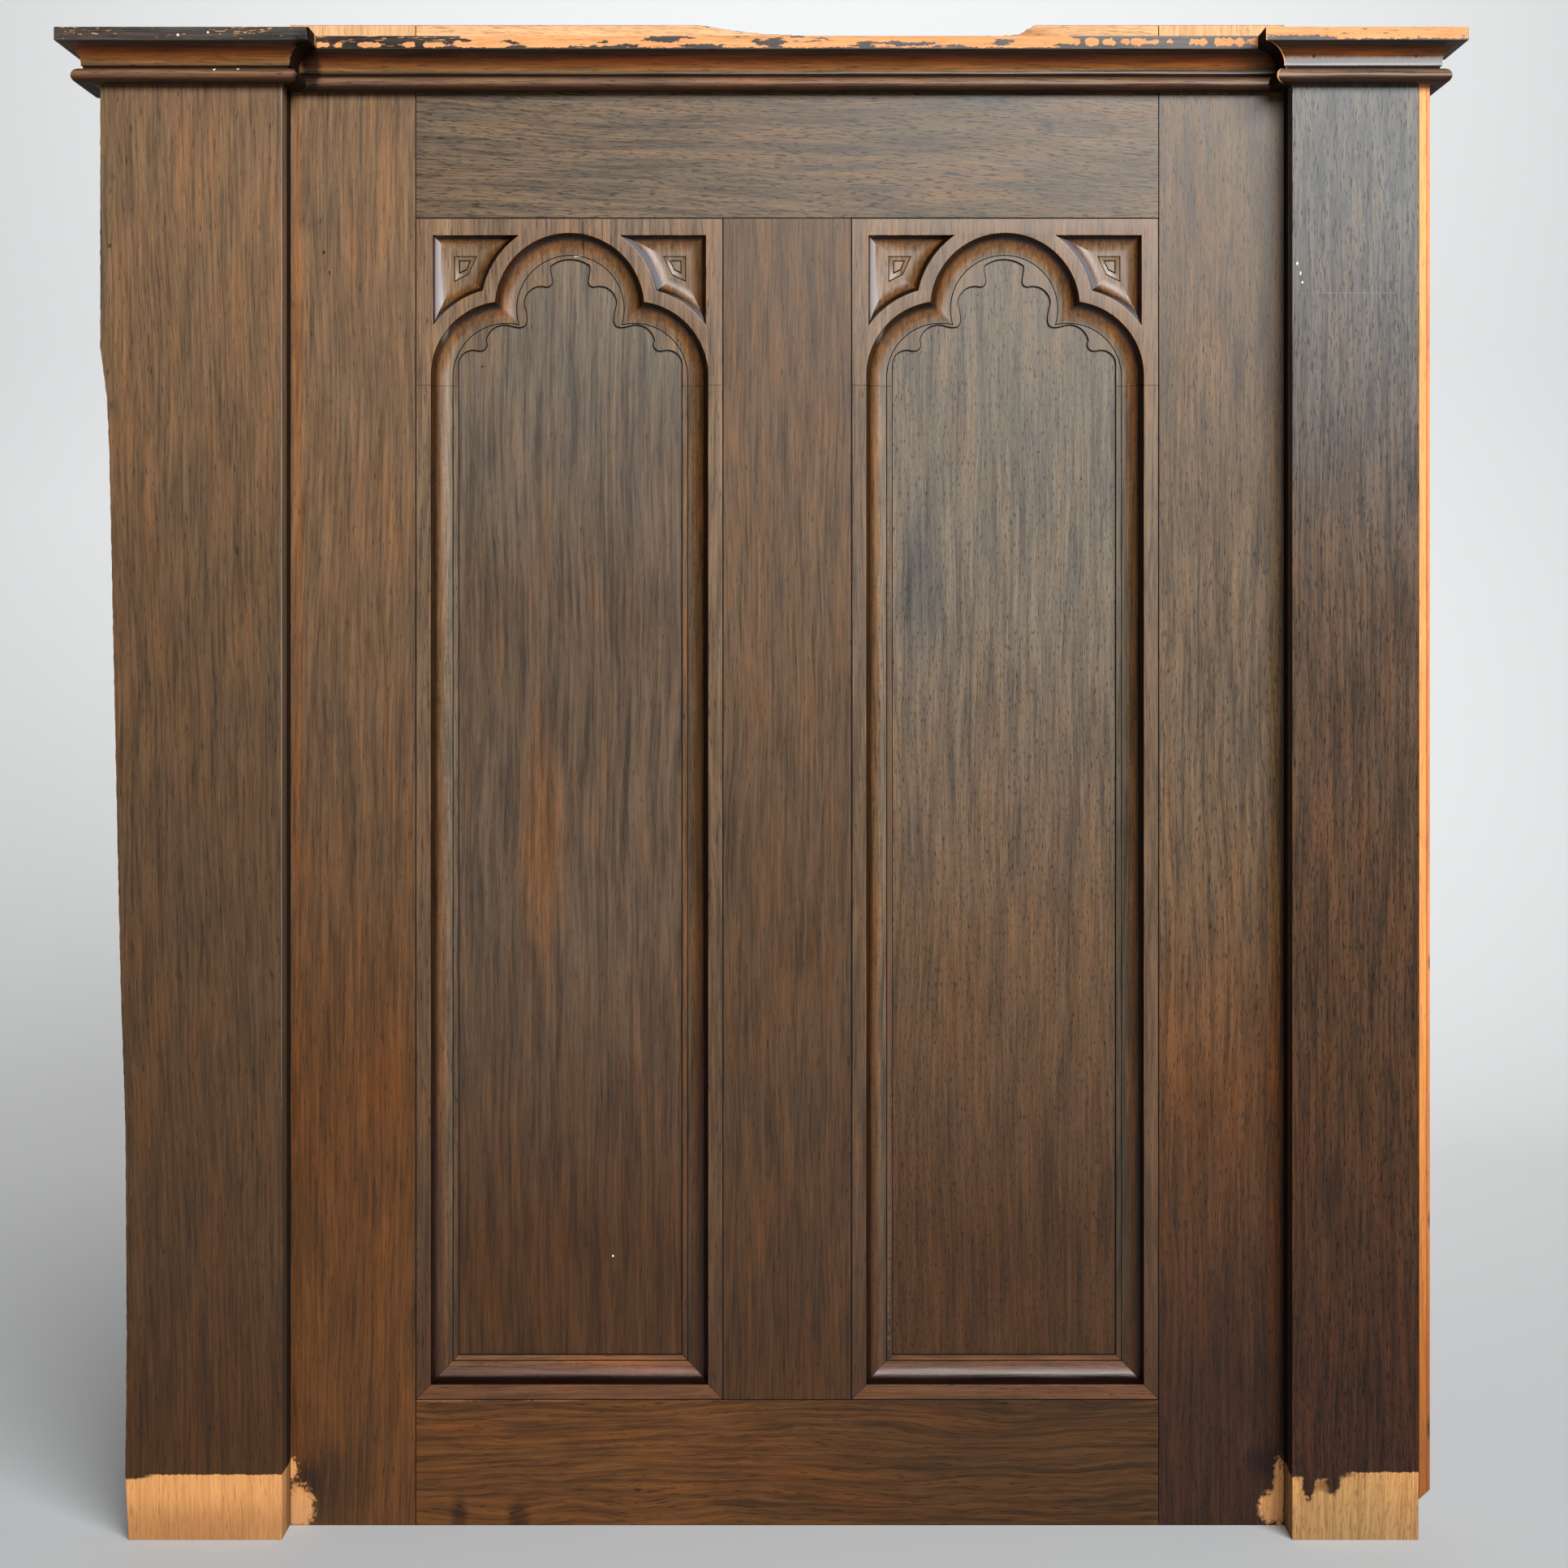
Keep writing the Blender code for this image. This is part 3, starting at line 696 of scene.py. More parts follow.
def make_head(node, material):
    arch = Arch(node)
    bm = bmesh.new()
    layers = paint_layers(bm)

    def row(outline, depth, flip=1):
        return [
            bm.verts.new((arch.middle + flip * x, FACE + depth, arch.crown + z))
            for x, z in outline
        ]

    def chain(line, closed=False):
        pairs = list(zip(line, line[1:] + line[:1]))
        return [
            bm.edges.get(pair) or bm.edges.new(pair) for pair in (pairs if closed else pairs[:-1])
        ]

    def loft(rows, kinds, closed=False):
        for lower, upper, one, two in zip(rows, rows[1:], kinds, kinds[1:]):
            count = len(lower)
            for i in range(count if closed else count - 1):
                j = (i + 1) % count
                face = bm.faces.new((lower[i], lower[j], upper[j], upper[i]))
                paint(face, layers, one, two)

    def fill(edges):
        bmesh.ops.triangle_fill(bm, edges=edges, use_beauty=True)

    # Outer sides
    def outer(inset):
        edge = arch.half - inset
        return [
            (-edge, arch.bottom), (-edge, arch.top - inset), (edge, arch.top - inset),
            (edge, arch.bottom),
        ]

    outer_rows = [row(outer(-inset), deep) for inset, deep in EASED]
    outer_rows.append(row(outer(0), THICKNESS))
    loft(outer_rows, [DIRT_AND_SHADE] * 4)

    # Arch: cove, lip and the edge of the cusped layer
    rings = cove_rings()
    cove = [row(arch.edge(inset), deep) for inset, deep, _ in rings]
    loft(cove, [kind for _, _, kind in rings])
    layer = [row(arch.tracery(behind), deep) for behind, deep in LIP_EDGE]
    loft(layer, [DIRT_AND_SHADE] * 4)
    band = chain(cove[-1]) + chain(layer[0])
    band += [bm.edges.new((cove[-1][k], layer[0][k])) for k in (0, -1)]
    fill(band)

    # Back
    rear = chain(outer_rows[-1]) + chain(layer[-1])
    rear += [bm.edges.new((outer_rows[-1][k], layer[-1][k])) for k in (0, -1)]
    fill(rear)

    # Feet on the jambs
    for k in (0, -1):
        foot = [line[k] for line in outer_rows] + [line[k] for line in reversed(layer)]
        foot += [line[k] for line in reversed(cove)]
        bm.faces.new(foot)

    # Sunk spandrels with a nailhead each
    front = chain(outer_rows[0]) + chain(cove[0])
    front += [bm.edges.get((outer_rows[0][k], cove[0][k])) for k in (0, -1)]
    steps = hollow_rings(SPANDREL_COVE, SPANDREL_DEPTH, SPANDREL_STEPS)
    for flip in (1, -1):
        rows = [row(arch.spandrel(inset), deep, flip) for inset, deep, _ in steps]
        loft(rows, [kind for _, _, kind in steps], True)
        front += chain(rows[0], True)
        pit = [
            row(arch.nailhead(share), SPANDREL_DEPTH + deep, flip)
            for share, deep in (
                (NAILHEAD_SHARE, 0.0), (NAILHEAD_SHARE - 0.03, 0.0009),
                (NAILHEAD_SHARE - 0.07, 0.0003), (0.36, 0.0011), (0.33, 0.0018), (0.27, 0.0010),
            )
        ]
        loft(pit, (DIRT_AND_SHADE, DIRT_AND_SHADE, DIRT_AND_SHADE, 0, DIRT_AND_SHADE, DIRT_AND_SHADE), True)
        bm.faces.new(pit[-1])
        fill(chain(rows[-1], True) + chain(pit[0], True))
    fill(front)
    finish_mesh(node, bm, material)


def insert_section():
    """Section of jambs and sill: (across, deep, kind), a closed outline."""
    section = [(0.0, THICKNESS, DIRT_AND_SHADE), (0.0, ARRIS, DIRT_AND_SHADE), (0.3 * ARRIS, 0.25 * ARRIS, DIRT_AND_SHADE)]
    section += [(ARRIS, 0.0, DIRT_AND_SHADE)]
    section += [(BORDER + inset, deep, kind) for inset, deep, kind in cove_rings()]
    edge = BORDER + COVE_WIDTH + LIP_WIDTH
    return section + [(edge - behind, deep, JOINT) for behind, deep in LIP_EDGE]


def make_jamb(node, head, inward, material, seed):
    low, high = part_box(node)
    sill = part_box(head.replace("_head", "_sill"))[0].z
    edge = low.x if inward > 0 else high.x
    section = insert_section()
    start = [
        Vector((edge + inward * a, FACE + d, sill + a + MITRE_GAP)) for a, d, _ in section
    ]
    end = [Vector((edge + inward * a, FACE + d, high.z)) for a, d, _ in section]
    swept(node, section, start, end, material, seed, step=0.012)


def make_sill(node, material, seed):
    low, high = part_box(node)
    section = insert_section()
    start = [Vector((low.x + a, FACE + d, low.z + a)) for a, d, _ in section]
    end = [Vector((high.x - a, FACE + d, low.z + a)) for a, d, _ in section]
    swept(node, section, start, end, material, seed, step=0.008)


# Cornice

HOLLOW_STEPS = 24
BEAD_STEPS = 26


def cornice_section():
    """(out from the face, height, kind), clockwise from the top at the back."""
    width = PROJECTION - FILLET_UNDERCUT - QUIRK
    ease = 0.0007
    section = [(GAP, CORNICE_TOP, 0), (PROJECTION - ease, CORNICE_TOP, WORN)]
    section += [
        (PROJECTION - 0.25 * ease, CORNICE_TOP - 0.25 * ease, WORN),
        (PROJECTION, CORNICE_TOP - ease, WORN), (PROJECTION, FILLET_FOOT + ease, 0),
        (PROJECTION - 0.25 * ease, FILLET_FOOT + 0.25 * ease, 0),
        (PROJECTION - ease, FILLET_FOOT, 0),
    ]
    for i in range(HOLLOW_STEPS + 1):
        turn = math.radians(90) * (1 - i / HOLLOW_STEPS)
        out = QUIRK + width * (1 - math.cos(turn))
        section.append((out, QUIRK_TOP + CORNICE_COVE * math.sin(turn), 0))
    section += [
        (QUIRK + 0.0002, QUIRK_TOP - 0.0008, 0), (QUIRK - 0.0012, QUIRK_TOP - 0.0016, DIRT_AND_SHADE),
        (QUIRK - 0.0014, QUIRK_TOP - 0.0026, DIRT_AND_SHADE), (QUIRK - 0.0006, QUIRK_TOP - 0.0034, 0),
    ]
    bead = (2 * QUIRK - BEAD_RADIUS - FILLET_UNDERCUT, QUIRK_TOP - BEAD_DROP)
    section += [(x, z, 0) for x, z in arc(bead, BEAD_RADIUS, 100, -90, BEAD_STEPS)]
    section.append((GAP, CORNICE_BOTTOM, 0))
    return section


def make_cornice(materials):
    corners = (
        (LEFT_OUTER, BACK), (LEFT_OUTER, PILASTER_FACE), (LEFT_INNER, PILASTER_FACE),
        (LEFT_INNER, FACE), (RIGHT_INNER, FACE), (RIGHT_INNER, PILASTER_FACE),
        (RIGHT_OUTER, PILASTER_FACE), (RIGHT_OUTER, BACK),
    )
    names = (
        "cornice_left_outer_return", "cornice_left_front", "cornice_left_inner_return",
        "cornice_middle", "cornice_right_inner_return", "cornice_right_front",
        "cornice_right_outer_return",
    )
    turns = (0, 1, 1, -1, -1, 1, 1, 0)
    ragged = {1: (0, 0.0012), 2: (0.0012, 0.0008), 3: (0.0008, 0)}
    section = cornice_section()
    for i, name in enumerate(names):
        start = Vector(corners[i])
        end = Vector(corners[i + 1])
        along = (end - start).normalized()
        outward = Vector((along.y, -along.x))
        ends = []
        for corner, turn, way in ((start, turns[i], -1), (end, turns[i + 1], 1)):
            seam = MITRE_GAP if turn else 0
            ends.append([
                Vector((*(corner + outward * out + along * way * (turn * out - seam)), height))
                for out, height, _ in section
            ])
        swept(
            name, section, ends[0], ends[1], materials[name], 40 + i,
            ragged.get(i, (0, 0)), wave=0.00022,
        )


# Where the wood is bare


def above_cornice(g):
    return g.span(g.z, CORNICE_TOP / MM - 0.6, CORNICE_TOP / MM)


def below(g, height, ragged=5.0):
    """1 below a ragged line at this height in mm."""
    level = g.times_plus(g.ragged(), ragged, height)
    return g.span(g.minus(level, g.z), -0.3, 0.3)


def left_foot(g):
    return g.either(
        g.without(below(g, 52.3, 3.0), g.spot(-510, 52, 21, 3.4, 0.15)),
        g.times(g.spot(-512, 232, 2.4, 66, 0.4), 0.8),
    )


def right_foot(g):
    stained = g.either(
        g.spot(447, 54.5, 25, 6.5, 0.30), g.spot(437.3, 44, 5.2, 11.5, 0.45),
        g.spot(457, 46, 5.4, 9.0, 0.45), g.spot(426, 53.5, 9, 3.6, 0.4),
    )
    return g.without(below(g, 54.2, 4.0), stained)


def left_stile_bare(g):
    return g.either(
        above_cornice(g), g.spot(-382.0, 46, 4.5, 8.0, 0.9), g.spot(-376.5, 15, 12.0, 17, 0.45),
    )


def right_stile_bare(g):
    return g.either(
        above_cornice(g), g.spot(420.5, 26, 5.0, 27, 0.50), g.spot(413, 15, 9.5, 12, 0.45),
    )


def middle_fillet(g):
    """Pale pills in the stain at both ends, long smears of stain between them."""
    fillet = g.span(g.times_plus(g.ragged(), 3.0, g.z), 1195.7, 1196.4)
    x = g.times_plus(g.ragged(), 7.0, g.x)
    z = g.times_plus(g.ragged(), 4.0, g.z)
    left = g.span(g.x, -232.0, -262.0)
    right = g.span(g.x, 240.0, 262.0)
    band = g.noise(g.join(g.over(x, 9.0), 0.3, 0.0), 1.0)
    smear = g.noise(g.join(g.over(g.x, 30.0), 0.7, g.over(z, 4.5)), 2.0, 0.6)
    smear = g.math("ADD", smear, g.span(g.z, 1206.0, 1196.0, 0.0, 0.05))
    ends = g.either(left, right)
    level = g.times_plus(ends, g.minus(band, smear), smear)
    centre = g.times_plus(left, -2.4, 1200.6)
    off = g.math("ABSOLUTE", g.minus(z, centre))
    level = g.times_plus(ends, g.span(off, 0.5, 5.5, 0.02, 0.26), level)
    top = g.times_plus(left, -6.9, g.times_plus(right, -3.2, 1207.2))
    low = g.span(g.minus(z, top), 0.4, -0.4)
    fine = g.noise(g.join(g.over(g.x, 12.0), 0.9, g.over(g.z, 1.1)), 2.0)
    streaks = g.times(g.span(fine, 0.60, 0.64), left)
    share = g.either(g.times(low, g.span(level, 0.60, 0.565)), streaks)
    return g.times(share, fillet)


def left_fillet(g):
    """A few scratches in the stain."""
    fillet = g.span(g.z, 1195.6, 1196.4)
    worn = g.noise(g.join(g.over(g.x, 7.0), 0.7, g.over(g.z, 1.1)), 3.0, 0.6)
    zones = g.either(
        g.spot(-530, 1203, 30, 5), g.spot(-412, 1203, 26, 5), g.spot(-475, 1196, 14, 2)
    )
    share = g.span(g.times_plus(zones, 0.07, worn), 0.685, 0.71)
    return g.times(share, fillet)


def torn_return(g):
    """Pale torn wood where the left block's fillet meets the middle one."""
    end = g.span(g.times_plus(g.ragged(), 6.0, g.y), FACE / MM - 37, FACE / MM - 35)
    return g.times(end, g.span(g.z, 1196.0, 1196.8))


def mitre_edge(g):
    """The pale cut profile where the right block meets its inner return."""
    past = g.minus(g.minus(g.x, g.y), RIGHT_INNER / MM - PILASTER_FACE / MM)
    return g.span(past, 1.5, 0.9)


def right_fillet(g):
    """Mostly bare, with stain along the lower edge."""
    fillet = g.span(g.times_plus(g.ragged(), 5.0, g.z), 1195.9, 1196.6)
    worn = g.noise(g.join(g.over(g.x, 14.0), 0.7, g.over(g.z, 3.0)), 3.0, 0.6)
    share = g.without(fillet, g.spot(424, 1195.6, 34, 3.2, 0.5))
    share = g.without(share, g.span(worn, 0.62, 0.66))
    return g.either(share, g.times(mitre_edge(g), 0.8))


# The pieces

# Oak tones, from darker stained wood near the floor to paler, greyer wood higher up: painted light
# that falls off towards the floor and a painted grey sheen of the window; then the stained wood in
# painted shadow and the wood stripped bare
UMBER = (46, 24, 10)
DEEP = (60, 36, 15)
RUSSET = (80, 48, 20)
BROWN = (70, 50, 32)
TAUPE = (76, 59, 44)
WALNUT = (84, 62, 42)
DRAB = (87, 69, 50)
TAN = (103, 77, 53)
SHEEN_GREY = (92, 81, 68)
ASH = (82, 78, 73)
SHADE = (32, 22, 14)
STRIPPED = (205, 140, 88)


def even(colour):
    """One tone from the floor to the top."""
    return ((0, colour), (FRAME_TOP / MM, colour))


# Tones by height in mm, paler and greyer higher up with painted light and painted sheen
LEFT_PILASTER = ((80, DEEP), (420, BROWN), (760, WALNUT), (1040, TAN))
LEFT_STILE = ((360, RUSSET), (630, WALNUT), (1000, TAN))
MUNTIN = ((120, DEEP), (490, BROWN), (760, WALNUT))
LEFT_FIELD = ((230, DEEP), (490, TAUPE), (760, TAUPE), (1050, SHEEN_GREY))
RIGHT_FIELD = ((230, DEEP), (490, WALNUT), (760, SHEEN_GREY))
RIGHT_STILE = ((120, UMBER), (360, RUSSET), (630, DRAB))
RIGHT_PILASTER = ((120, UMBER), (360, DEEP), (760, BROWN), (1040, ASH))
CARVED = ((120, DEEP), (490, WALNUT), (760, DRAB), (1000, TAN))
TOP_RAIL = even(DRAB)
BOTTOM_RAIL = even(RUSSET)
SILL = even((88, 54, 30))
# Stained wood painted as it looks in shadow, for the inner returns
DARK = even(SHADE)


def moulding_tones():
    """Painted shade under the bead, in the quirk and under the fillet; painted highlights on the nose
    of the bead and on the lip of the cove.
    """
    tones = (
        (CORNICE_BOTTOM, (28, 14, 4)), (CORNICE_BOTTOM + 0.0040, (56, 30, 8)),
        (QUIRK_TOP - 0.0076, (122, 90, 68)), (QUIRK_TOP - 0.0045, (48, 28, 12)),
        (QUIRK_TOP - 0.0014, (36, 23, 13)), (QUIRK_TOP + 0.0020, (106, 76, 46)),
        (QUIRK_TOP + 0.0055, (108, 56, 12)), (FILLET_FOOT - 0.0045, (74, 34, 6)),
        (FILLET_FOOT - 0.0006, (24, 13, 5)), (FILLET_FOOT + 0.0001, (62, 55, 50)),
    )
    return tuple((height / MM, colour) for height, colour in tones)


CORNICE = moulding_tones()
BARE_FILLET = even(STRIPPED)
WHITE = (226, 214, 196)
BLACK = (0.16, 0.14, 0.13)


def frame_board(node, material, seed, **more):
    """A member of the frame, dirty along its joints."""
    refined(node, material, "stained_oak", seed, arris=0.0003, edge="dirt_and_shade", **more)


def build_frame():
    frame_board(
        "left_stile",
        oak("left_stile_look", 2, LEFT_STILE, 1, level=0.25, bare=left_stile_bare, slant=-0.01, marks=(
            stain(-378, 860, 5, 330, (1.32, 1.02, 0.72)),
            stain(-356.0, 1034.3, 1.1, 1.6, BLACK, 0, 0.3),
            stain(-351.4, 1017.8, 0.8, 1.8, BLACK, 0, 0.3),
            stain(-352, 30, 26, 34, (0.55, 0.62, 0.78), 0.3),
            stain(-368, 36, 9, 14, (0.45, 0.50, 0.62), 0.3),
        )),
        1,
    )
    frame_board(
        "right_stile",
        oak("right_stile_look", 2, RIGHT_STILE, 2, bare=right_stile_bare, contrast=1.1, level=0.25,
            pores=(0.9, 8.0, 0.60, 0.80), mottle=0.8, marks=(
                stain(417.0, 420, 4.5, 560, (1.45, 1.22, 0.66)),
                stain(423.6, 480, 2.2, 700, (0.42, 0.36, 0.34)),
                stain(409, 52, 14, 12, (0.45, 0.42, 0.42), 0.3),
            )),
        2,
    )
    frame_board(
        "top_rail",
        oak("top_rail_look", 0, TOP_RAIL, 3, bare=above_cornice, slant=0.05, wander=26.0,
            contrast=1.2, mottle=0.8, level=0.27, pores=(1.0, 9.0, 0.58, 0.88), marks=(
                stain(231.5, 1135.8, 7, 7, (0.62, 0.64, 0.70), 0.3),
            ), bare_marks=(
                stain(217, 1211, 17, 5, (0.72, 0.60, 0.50), 0.2),
            )),
        3, rough=broken_top, fine=((0, -0.062, 0.228, 0.0025),),
    )
    frame_board(
        "bottom_rail",
        oak("bottom_rail_look", 0, BOTTOM_RAIL, 4, level=0.22, wander=46.0, rings=(8.0, 0.16),
            contrast=1.1, marks=(
                stain(230, 50, 200, 130, (0.60, 0.66, 0.74)),
                stain(-246, 8, 6, 15, (0.42, 0.44, 0.50), 0.2),
                stain(-198, 6, 8, 13, (0.42, 0.44, 0.50), 0.2),
                chip(-258, 101.4, 21, 1.0, (118, 76, 44), 0.9),
                chip(-167, 101.6, 22, 0.8, (118, 76, 44), 0.9),
            )),
        4,
    )
    frame_board("muntin", oak("muntin_look", 2, MUNTIN, 5, level=0.26), 5)


def sheen(x, z, radius_x, radius_z, colour, turned=(0.28, 0.55, 0.80, 0.97)):
    """Painted sheen of the window on walls of a hollow that face right, in an oval. turned: from where
    to where they face.
    """
    start, full, last, end = turned
    return lambda g, under: g.mix(
        g.times(
            g.spot(x, z, radius_x, radius_z, 0, 0.1),
            g.times(g.span(g.facing[0], start, full), g.span(g.facing[0], end, last)),
        ),
        under, linear(*colour),
    )


def lit_walls(panel):
    """Painted light on the carving: the hollows are paler and cooler where they face the window,
    browner opposite, and the nailheads paler and cooler.
    """
    arch = Arch(panel + "_head")
    left = arch.low.x / MM
    right = arch.high.x / MM
    middle = arch.middle / MM
    across, up = arch.nailhead(0)[0]
    across = across / MM
    height = (arch.crown + up) / MM
    return (
        sheen(left + 20, height - 8, 11, 52, (124, 114, 108), (0.14, 0.36, 0.66, 0.90)),
        sheen(middle - across, height - 6, 52, 46, (96, 94, 98)),
        stain(left + 23, 560, 8, 700, (1.42, 1.54, 1.70)),
        stain(right - 23, 560, 9, 700, (0.74, 0.72, 0.66)),
        stain(middle + across, height, 9, 9, (1.15, 1.30, 1.45)),
        stain(middle - across, height, 9, 9, (1.15, 1.30, 1.45)),
    )


def build_panels():
    left_marks = (
        stain(-180, 547, 16, 100, (1.34, 1.05, 0.76)),
        stain(-228.8, 942.6, 1.0, 1.0, BLACK, 0, 0.3),
        chip(-121.9, 216, 0.8, 0.8, WHITE, 0),
    )
    right_marks = (
        stain(128, 760, 11, 56, (0.60, 0.66, 0.76), 0.2, 0.8),
        stain(225.6, 872.7, 1.3, 0.8, BLACK, 0, 0.4), stain(260.5, 851, 0.8, 1.2, BLACK, 0, 0.4),
    )
    carved_marks = (
        (
            stain(-145.7, 1049, 0.9, 16, BLACK, 0.25, 0.4),
            stain(-129.8, 1050, 0.5, 12, (0.35, 0.32, 0.32), 0.3, 0.4),
            chip(-150.3, 1032.4, 2.8, 0.7, (186, 172, 152), 0.6),
            stain(-62.3, 520, 2.6, 420, (1.55, 1.06, 0.62)),
        ),
        (
            chip(103.4, 500, 1.7, 310, (88, 56, 33), 0.8),
            stain(72.6, 600, 1.1, 500, BLACK, 0.3),
        ),
    )
    sill_marks = (
        (
            # Painted sheen of the window on the upper part of the sill
            stain(-157, 136, 140, 13, (1.38, 1.40, 1.44)),
            chip(-181.6, 139.6, 5.5, 0.9, WHITE, 0.5),
        ),
        (),
    )
    for k, panel in enumerate(("left_panel", "right_panel")):
        field = oak(
            panel + "_field_look", 2, RIGHT_FIELD if k else LEFT_FIELD, 6 + k,
            pores=(0.9, 6.0, 0.60, 0.80) if k else (0.8, 11.0, 0.64, 0.6),
            contrast=0.9 if k else 1.0, level=0.26, mottle=0.8,
            marks=right_marks if k else left_marks,
        )
        refined(panel + "_field", field, "stained_oak", 6 + k, edge="dirt_and_shade")
        lip = (FACE + COVE_DEPTH) / MM
        greyer = (0.74, 0.86, 0.96) if k else (0.84, 0.92, 0.98)

        def cusped_layer(g, colour, lip=lip, greyer=greyer):
            return g.tint(g.span(g.y, lip - 0.3, lip - 0.1), colour, greyer)

        carved = oak(
            panel + "_carved_look", 2, CARVED, 8 + k, hollow=(0.73, 0.95), gloss=0.32,
            marks=(cusped_layer,) + lit_walls(panel) + carved_marks[k], mottle=0.7,
        )
        make_head(panel + "_head", carved)
        make_jamb(panel + "_left_jamb", panel + "_head", 1, carved, 10 + k)
        make_jamb(panel + "_right_jamb", panel + "_head", -1, carved, 12 + k)
        sill = oak(
            panel + "_sill_look", 0, SILL, 14 + k, hollow=(0.78, 0.96), gloss=0.32,
            marks=sill_marks[k],
        )
        make_sill(panel + "_sill", sill, 14 + k)


def build_pilasters():
    refined(
        "left_pilaster_front",
        oak("left_pilaster_look", 2, LEFT_PILASTER, 16, level=0.25, bare=left_foot, slant=0.02, marks=(
            stain(-533, 1040, 10, 170, (0.66, 0.80, 0.92), 0, 0.8),
            stain(-521.4, 1035, 1.4, 1.8, (0.3, 0.28, 0.28), 0.2, 0.3),
            # Painted highlight along the inner front arris
            on_front(chip(LEFT_INNER / MM - 0.5, 900, 0.4, 560, (112, 96, 82), 0.1)),
        ), bare_marks=(
            stain(-450, 8, 90, 18, (0.80, 0.74, 0.66), 0.1, 0.7),
        )),
        "stained_oak", 16, arris=0.0006, rough=ragged_side, fine=((2, 0.03, 1.14, 0.004),),
    )
    refined(
        "right_pilaster_front",
        oak("right_pilaster_look", 2, RIGHT_PILASTER, 17, bare=right_foot, contrast=1.3, level=0.22,
            pores=(0.9, 8.0, 0.585, 0.88), marks=(
                chip(428.5, 1021, 0.7, 1.4, WHITE, 0.6), chip(431.0, 1013, 0.6, 1.7, WHITE, 0.6),
                chip(432.5, 1006, 0.7, 0.9, WHITE, 0.6),
                chip(470, 997.3, 42, 0.25, (100, 92, 84), 0.6),
            ), bare_marks=(
                stain(470, 20, 60, 60, (0.60, 0.70, 0.72), 0.1, 0.8),
                stain(450, 44, 9, 5, (0.5, 0.42, 0.34), 0.4),
            )),
        "stained_oak", 17, arris=0.0005,
    )
    for k, side in enumerate(("left", "right")):
        # The inner returns are painted in shadow, bare near the floor
        dark = oak(
            side + "_inner_return_look", 2, DARK, 18 + k, level=0.06, gloss=0.6,
            bare=lambda g: below(g, 52, 6.0), bare_tones=((0, (132, 100, 66)), (60, (140, 102, 62))),
        )
        refined(side + "_pilaster_inner_return", dark, "stained_oak", 18 + k)
        raw = oak(
            side + "_outer_return_look", 2, LEFT_PILASTER, 20 + k, bare=lambda g: 1.0,
            bare_tones=BARE_EDGE, bare_marks=(
                on_front(stain(531.9, 600, 0.6, 900, (0.62, 0.50, 0.38))),
                on_front(stain(534.4, 600, 2.2, 900, (0.84, 0.72, 0.58))),
                on_front(stain(534.6, 462, 1.4, 6, BLACK, 0.2)),
                on_front(stain(534.6, 256, 1.5, 6, BLACK, 0.2)),
                on_front(stain(534.8, 90, 2.2, 10, BLACK, 0.2)),
            ),
        )
        refined(side + "_pilaster_outer_return", raw, "bare_oak", 20 + k)


def fillet_look(name, seed, bare, *marks):
    """A front length of the cornice, its fillet bare in places."""
    return oak(
        name, 0, CORNICE, seed, bare=bare, bare_tones=BARE_FILLET, gloss=0.28, level=0.2,
        marks=marks,
    )


def build_cornice():
    mitre = stain(-365, 1180, 7.5, 19, (0.18, 0.15, 0.13), 0.35, 0.4)
    make_cornice({
        "cornice_left_front": fillet_look(
            "cornice_left_look", 25, left_fillet,
            mitre, chip(-364.5, 1184.5, 1.3, 1.0, WHITE), chip(-363.5, 1163, 1.2, 4.5, WHITE),
            chip(-435.2, 1174, 1.1, 0.9, WHITE), chip(-416.5, 1174.5, 1.0, 0.8, WHITE),
            chip(-461.6, 1199, 0.9, 0.9, WHITE), chip(-437.8, 1201, 0.8, 0.8, WHITE),
        ),
        "cornice_middle": fillet_look(
            "cornice_middle_look", 22, middle_fillet,
            mitre, stain(-360.5, 1199.5, 1.4, 8, (1.4, 0.7, 0.3)),
            stain(0, 1202, 3000, 7, (0.64, 0.56, 0.50), 0, 0.2),
            stain(310, 1180.3, 80, 0.6, BLACK, 0.4),
        ),
        "cornice_right_front": fillet_look(
            "cornice_right_look", 26, right_fillet,
            # Painted grey sheen of the window along the foot of the cove
            chip(470, 1180.9, 300, 3.2, (128, 124, 122), 0.25, 0.5),
            stain(470, 1202, 3000, 7, (0.72, 0.62, 0.54), 0, 0.2),
            stain(440.1, 1185, 1.2, 1.2, BLACK), stain(521.6, 1185, 1.0, 1.0, BLACK),
        ),
        "cornice_left_outer_return": oak("cornice_side_look", 1, CORNICE, 23),
        # The left inner return is painted in shadow, with pale torn wood
        "cornice_left_inner_return": oak(
            "cornice_inner_look", 1, DARK, 24, level=0.06, bare=torn_return,
            bare_tones=((1190, (150, 112, 74)), (1206, (172, 130, 88))),
        ),
        "cornice_right_inner_return": oak("cornice_shadow_look", 1, DARK, 27, level=0.06),
        "cornice_right_outer_return": oak("cornice_end_look", 1, CORNICE, 28),
    })


def plain(name, colour, roughness):
    material = bpy.data.materials.new(name)
    material.use_nodes = True
    shader = material.node_tree.nodes["Principled BSDF"]
    shader.inputs["Base Color"].default_value = (*colour, 1.0)
    shader.inputs["Roughness"].default_value = roughness
    return material


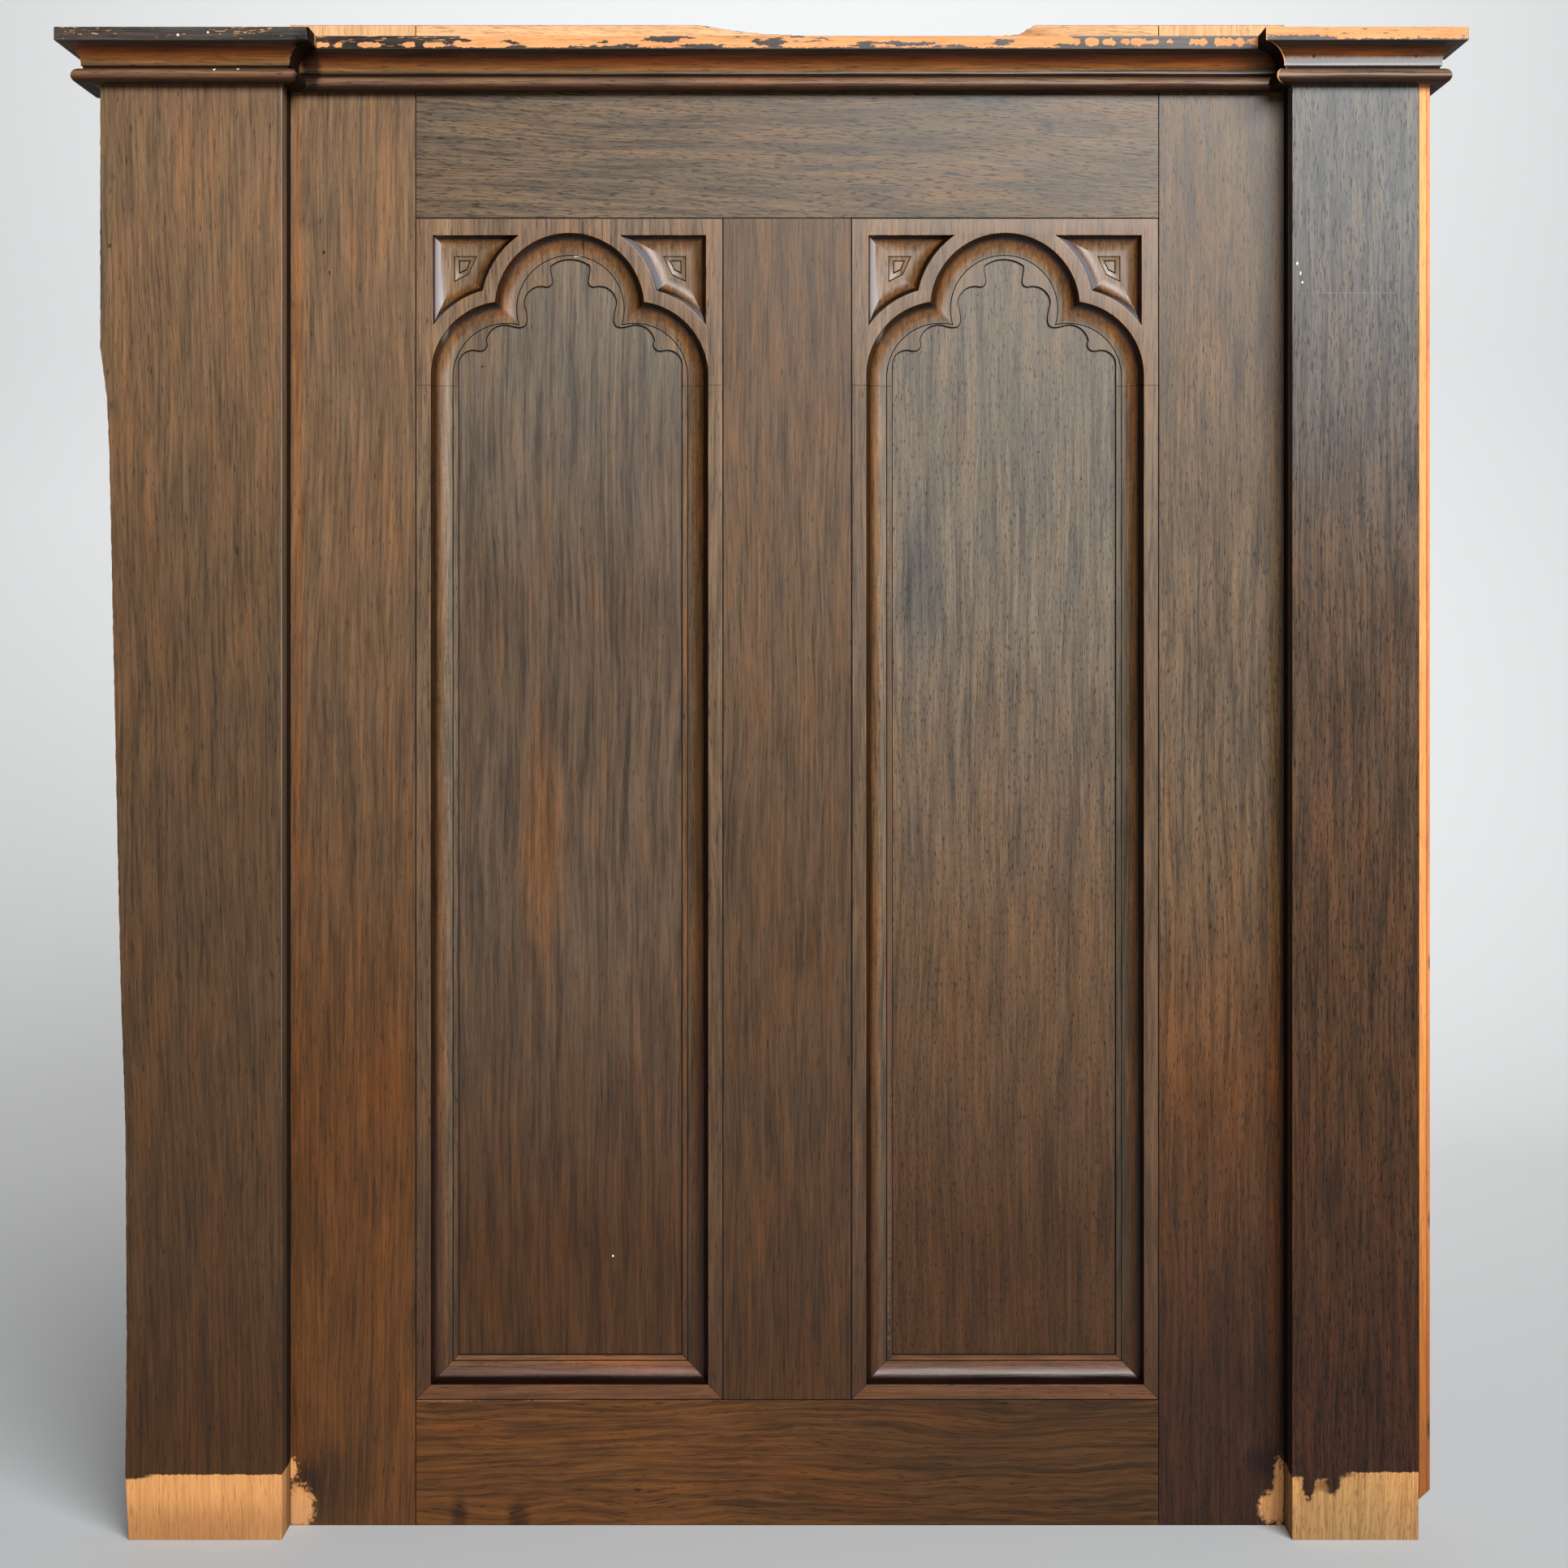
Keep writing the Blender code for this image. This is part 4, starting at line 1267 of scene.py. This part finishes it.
def make_stage():
    """Pale floor that turns up into a backdrop well behind the panel."""
    bm = bmesh.new()
    profile = [(-9.0, 0.0), (1.6, 0.0)]
    profile += [(1.6 + 1.2 * math.sin(a), 1.2 - 1.2 * math.cos(a))
                for a in [math.radians(90) * i / 16 for i in range(1, 17)]]
    profile.append((2.8, 7.0))
    rows = [[bm.verts.new((x, y, z)) for y, z in profile] for x in (-9.0, 9.0)]
    for i in range(len(profile) - 1):
        bm.faces.new((rows[0][i], rows[1][i], rows[1][i + 1], rows[0][i + 1]))
    mesh = bpy.data.meshes.new("floor")
    bm.to_mesh(mesh)
    bm.free()
    mesh.shade_smooth()
    mesh.materials.append(plain("pale_floor", (0.55, 0.55, 0.55), 0.9))
    floor = bpy.data.objects.new("floor", mesh)
    bpy.context.scene.collection.objects.link(floor)


def area_light(name, place, target, size, power, colour):
    data = bpy.data.lights.new(name, "AREA")
    data.shape = "RECTANGLE"
    data.size, data.size_y = size
    data.energy = power
    data.color = colour
    data.spread = math.radians(100)
    light = bpy.data.objects.new(name, data)
    light.location = place
    light.rotation_euler = (Vector(target) - Vector(place)).to_track_quat("-Z", "Y").to_euler()
    bpy.context.scene.collection.objects.link(light)


def make_lights():
    area_light("window", (1.55, -4.0, 2.6), (0.1, 0, 0.8), (3.3, 2.0), 140, (0.95, 0.98, 1.0))
    area_light("backdrop", (0.0, 0.9, 3.6), (0, 2.7, 1.0), (3.0, 0.6), 36, (1.0, 1.0, 1.0))
    world = bpy.data.worlds.new("studio")
    world.use_nodes = True
    background = world.node_tree.nodes["Background"]
    background.inputs["Color"].default_value = (1.0, 1.0, 1.0, 1.0)
    background.inputs["Strength"].default_value = 0.07
    bpy.context.scene.world = world


# Pixels of the photograph, mm to a pixel on the face of the field, and metres to the camera
PHOTO_SIZE = 1932
VIEW_AXIS = 974
PANEL_MIDDLE = 938.9
FLOOR_LINE = 1879.5
FIELD_SCALE = 0.6594
CAMERA_DISTANCE = 2.41


def make_camera():
    data = bpy.data.cameras.new("camera")
    data.sensor_width = 36.0
    data.lens = 68.1
    data.shift_x = -0.00414
    data.shift_y = -0.115
    camera = bpy.data.objects.new("camera", data)
    horizon = (0.5 + data.shift_y) * PHOTO_SIZE
    camera.location = (
        (VIEW_AXIS - PANEL_MIDDLE) * FIELD_SCALE * MM, FACE - CAMERA_DISTANCE,
        (FLOOR_LINE - horizon) * FIELD_SCALE * MM,
    )
    camera.rotation_euler = (math.radians(90), 0, 0)
    bpy.context.scene.collection.objects.link(camera)
    bpy.context.scene.camera = camera


make_camera()
build_frame()
build_panels()
build_pilasters()
build_cornice()
make_stage()
make_lights()
bpy.context.scene.view_settings.view_transform = "Standard"
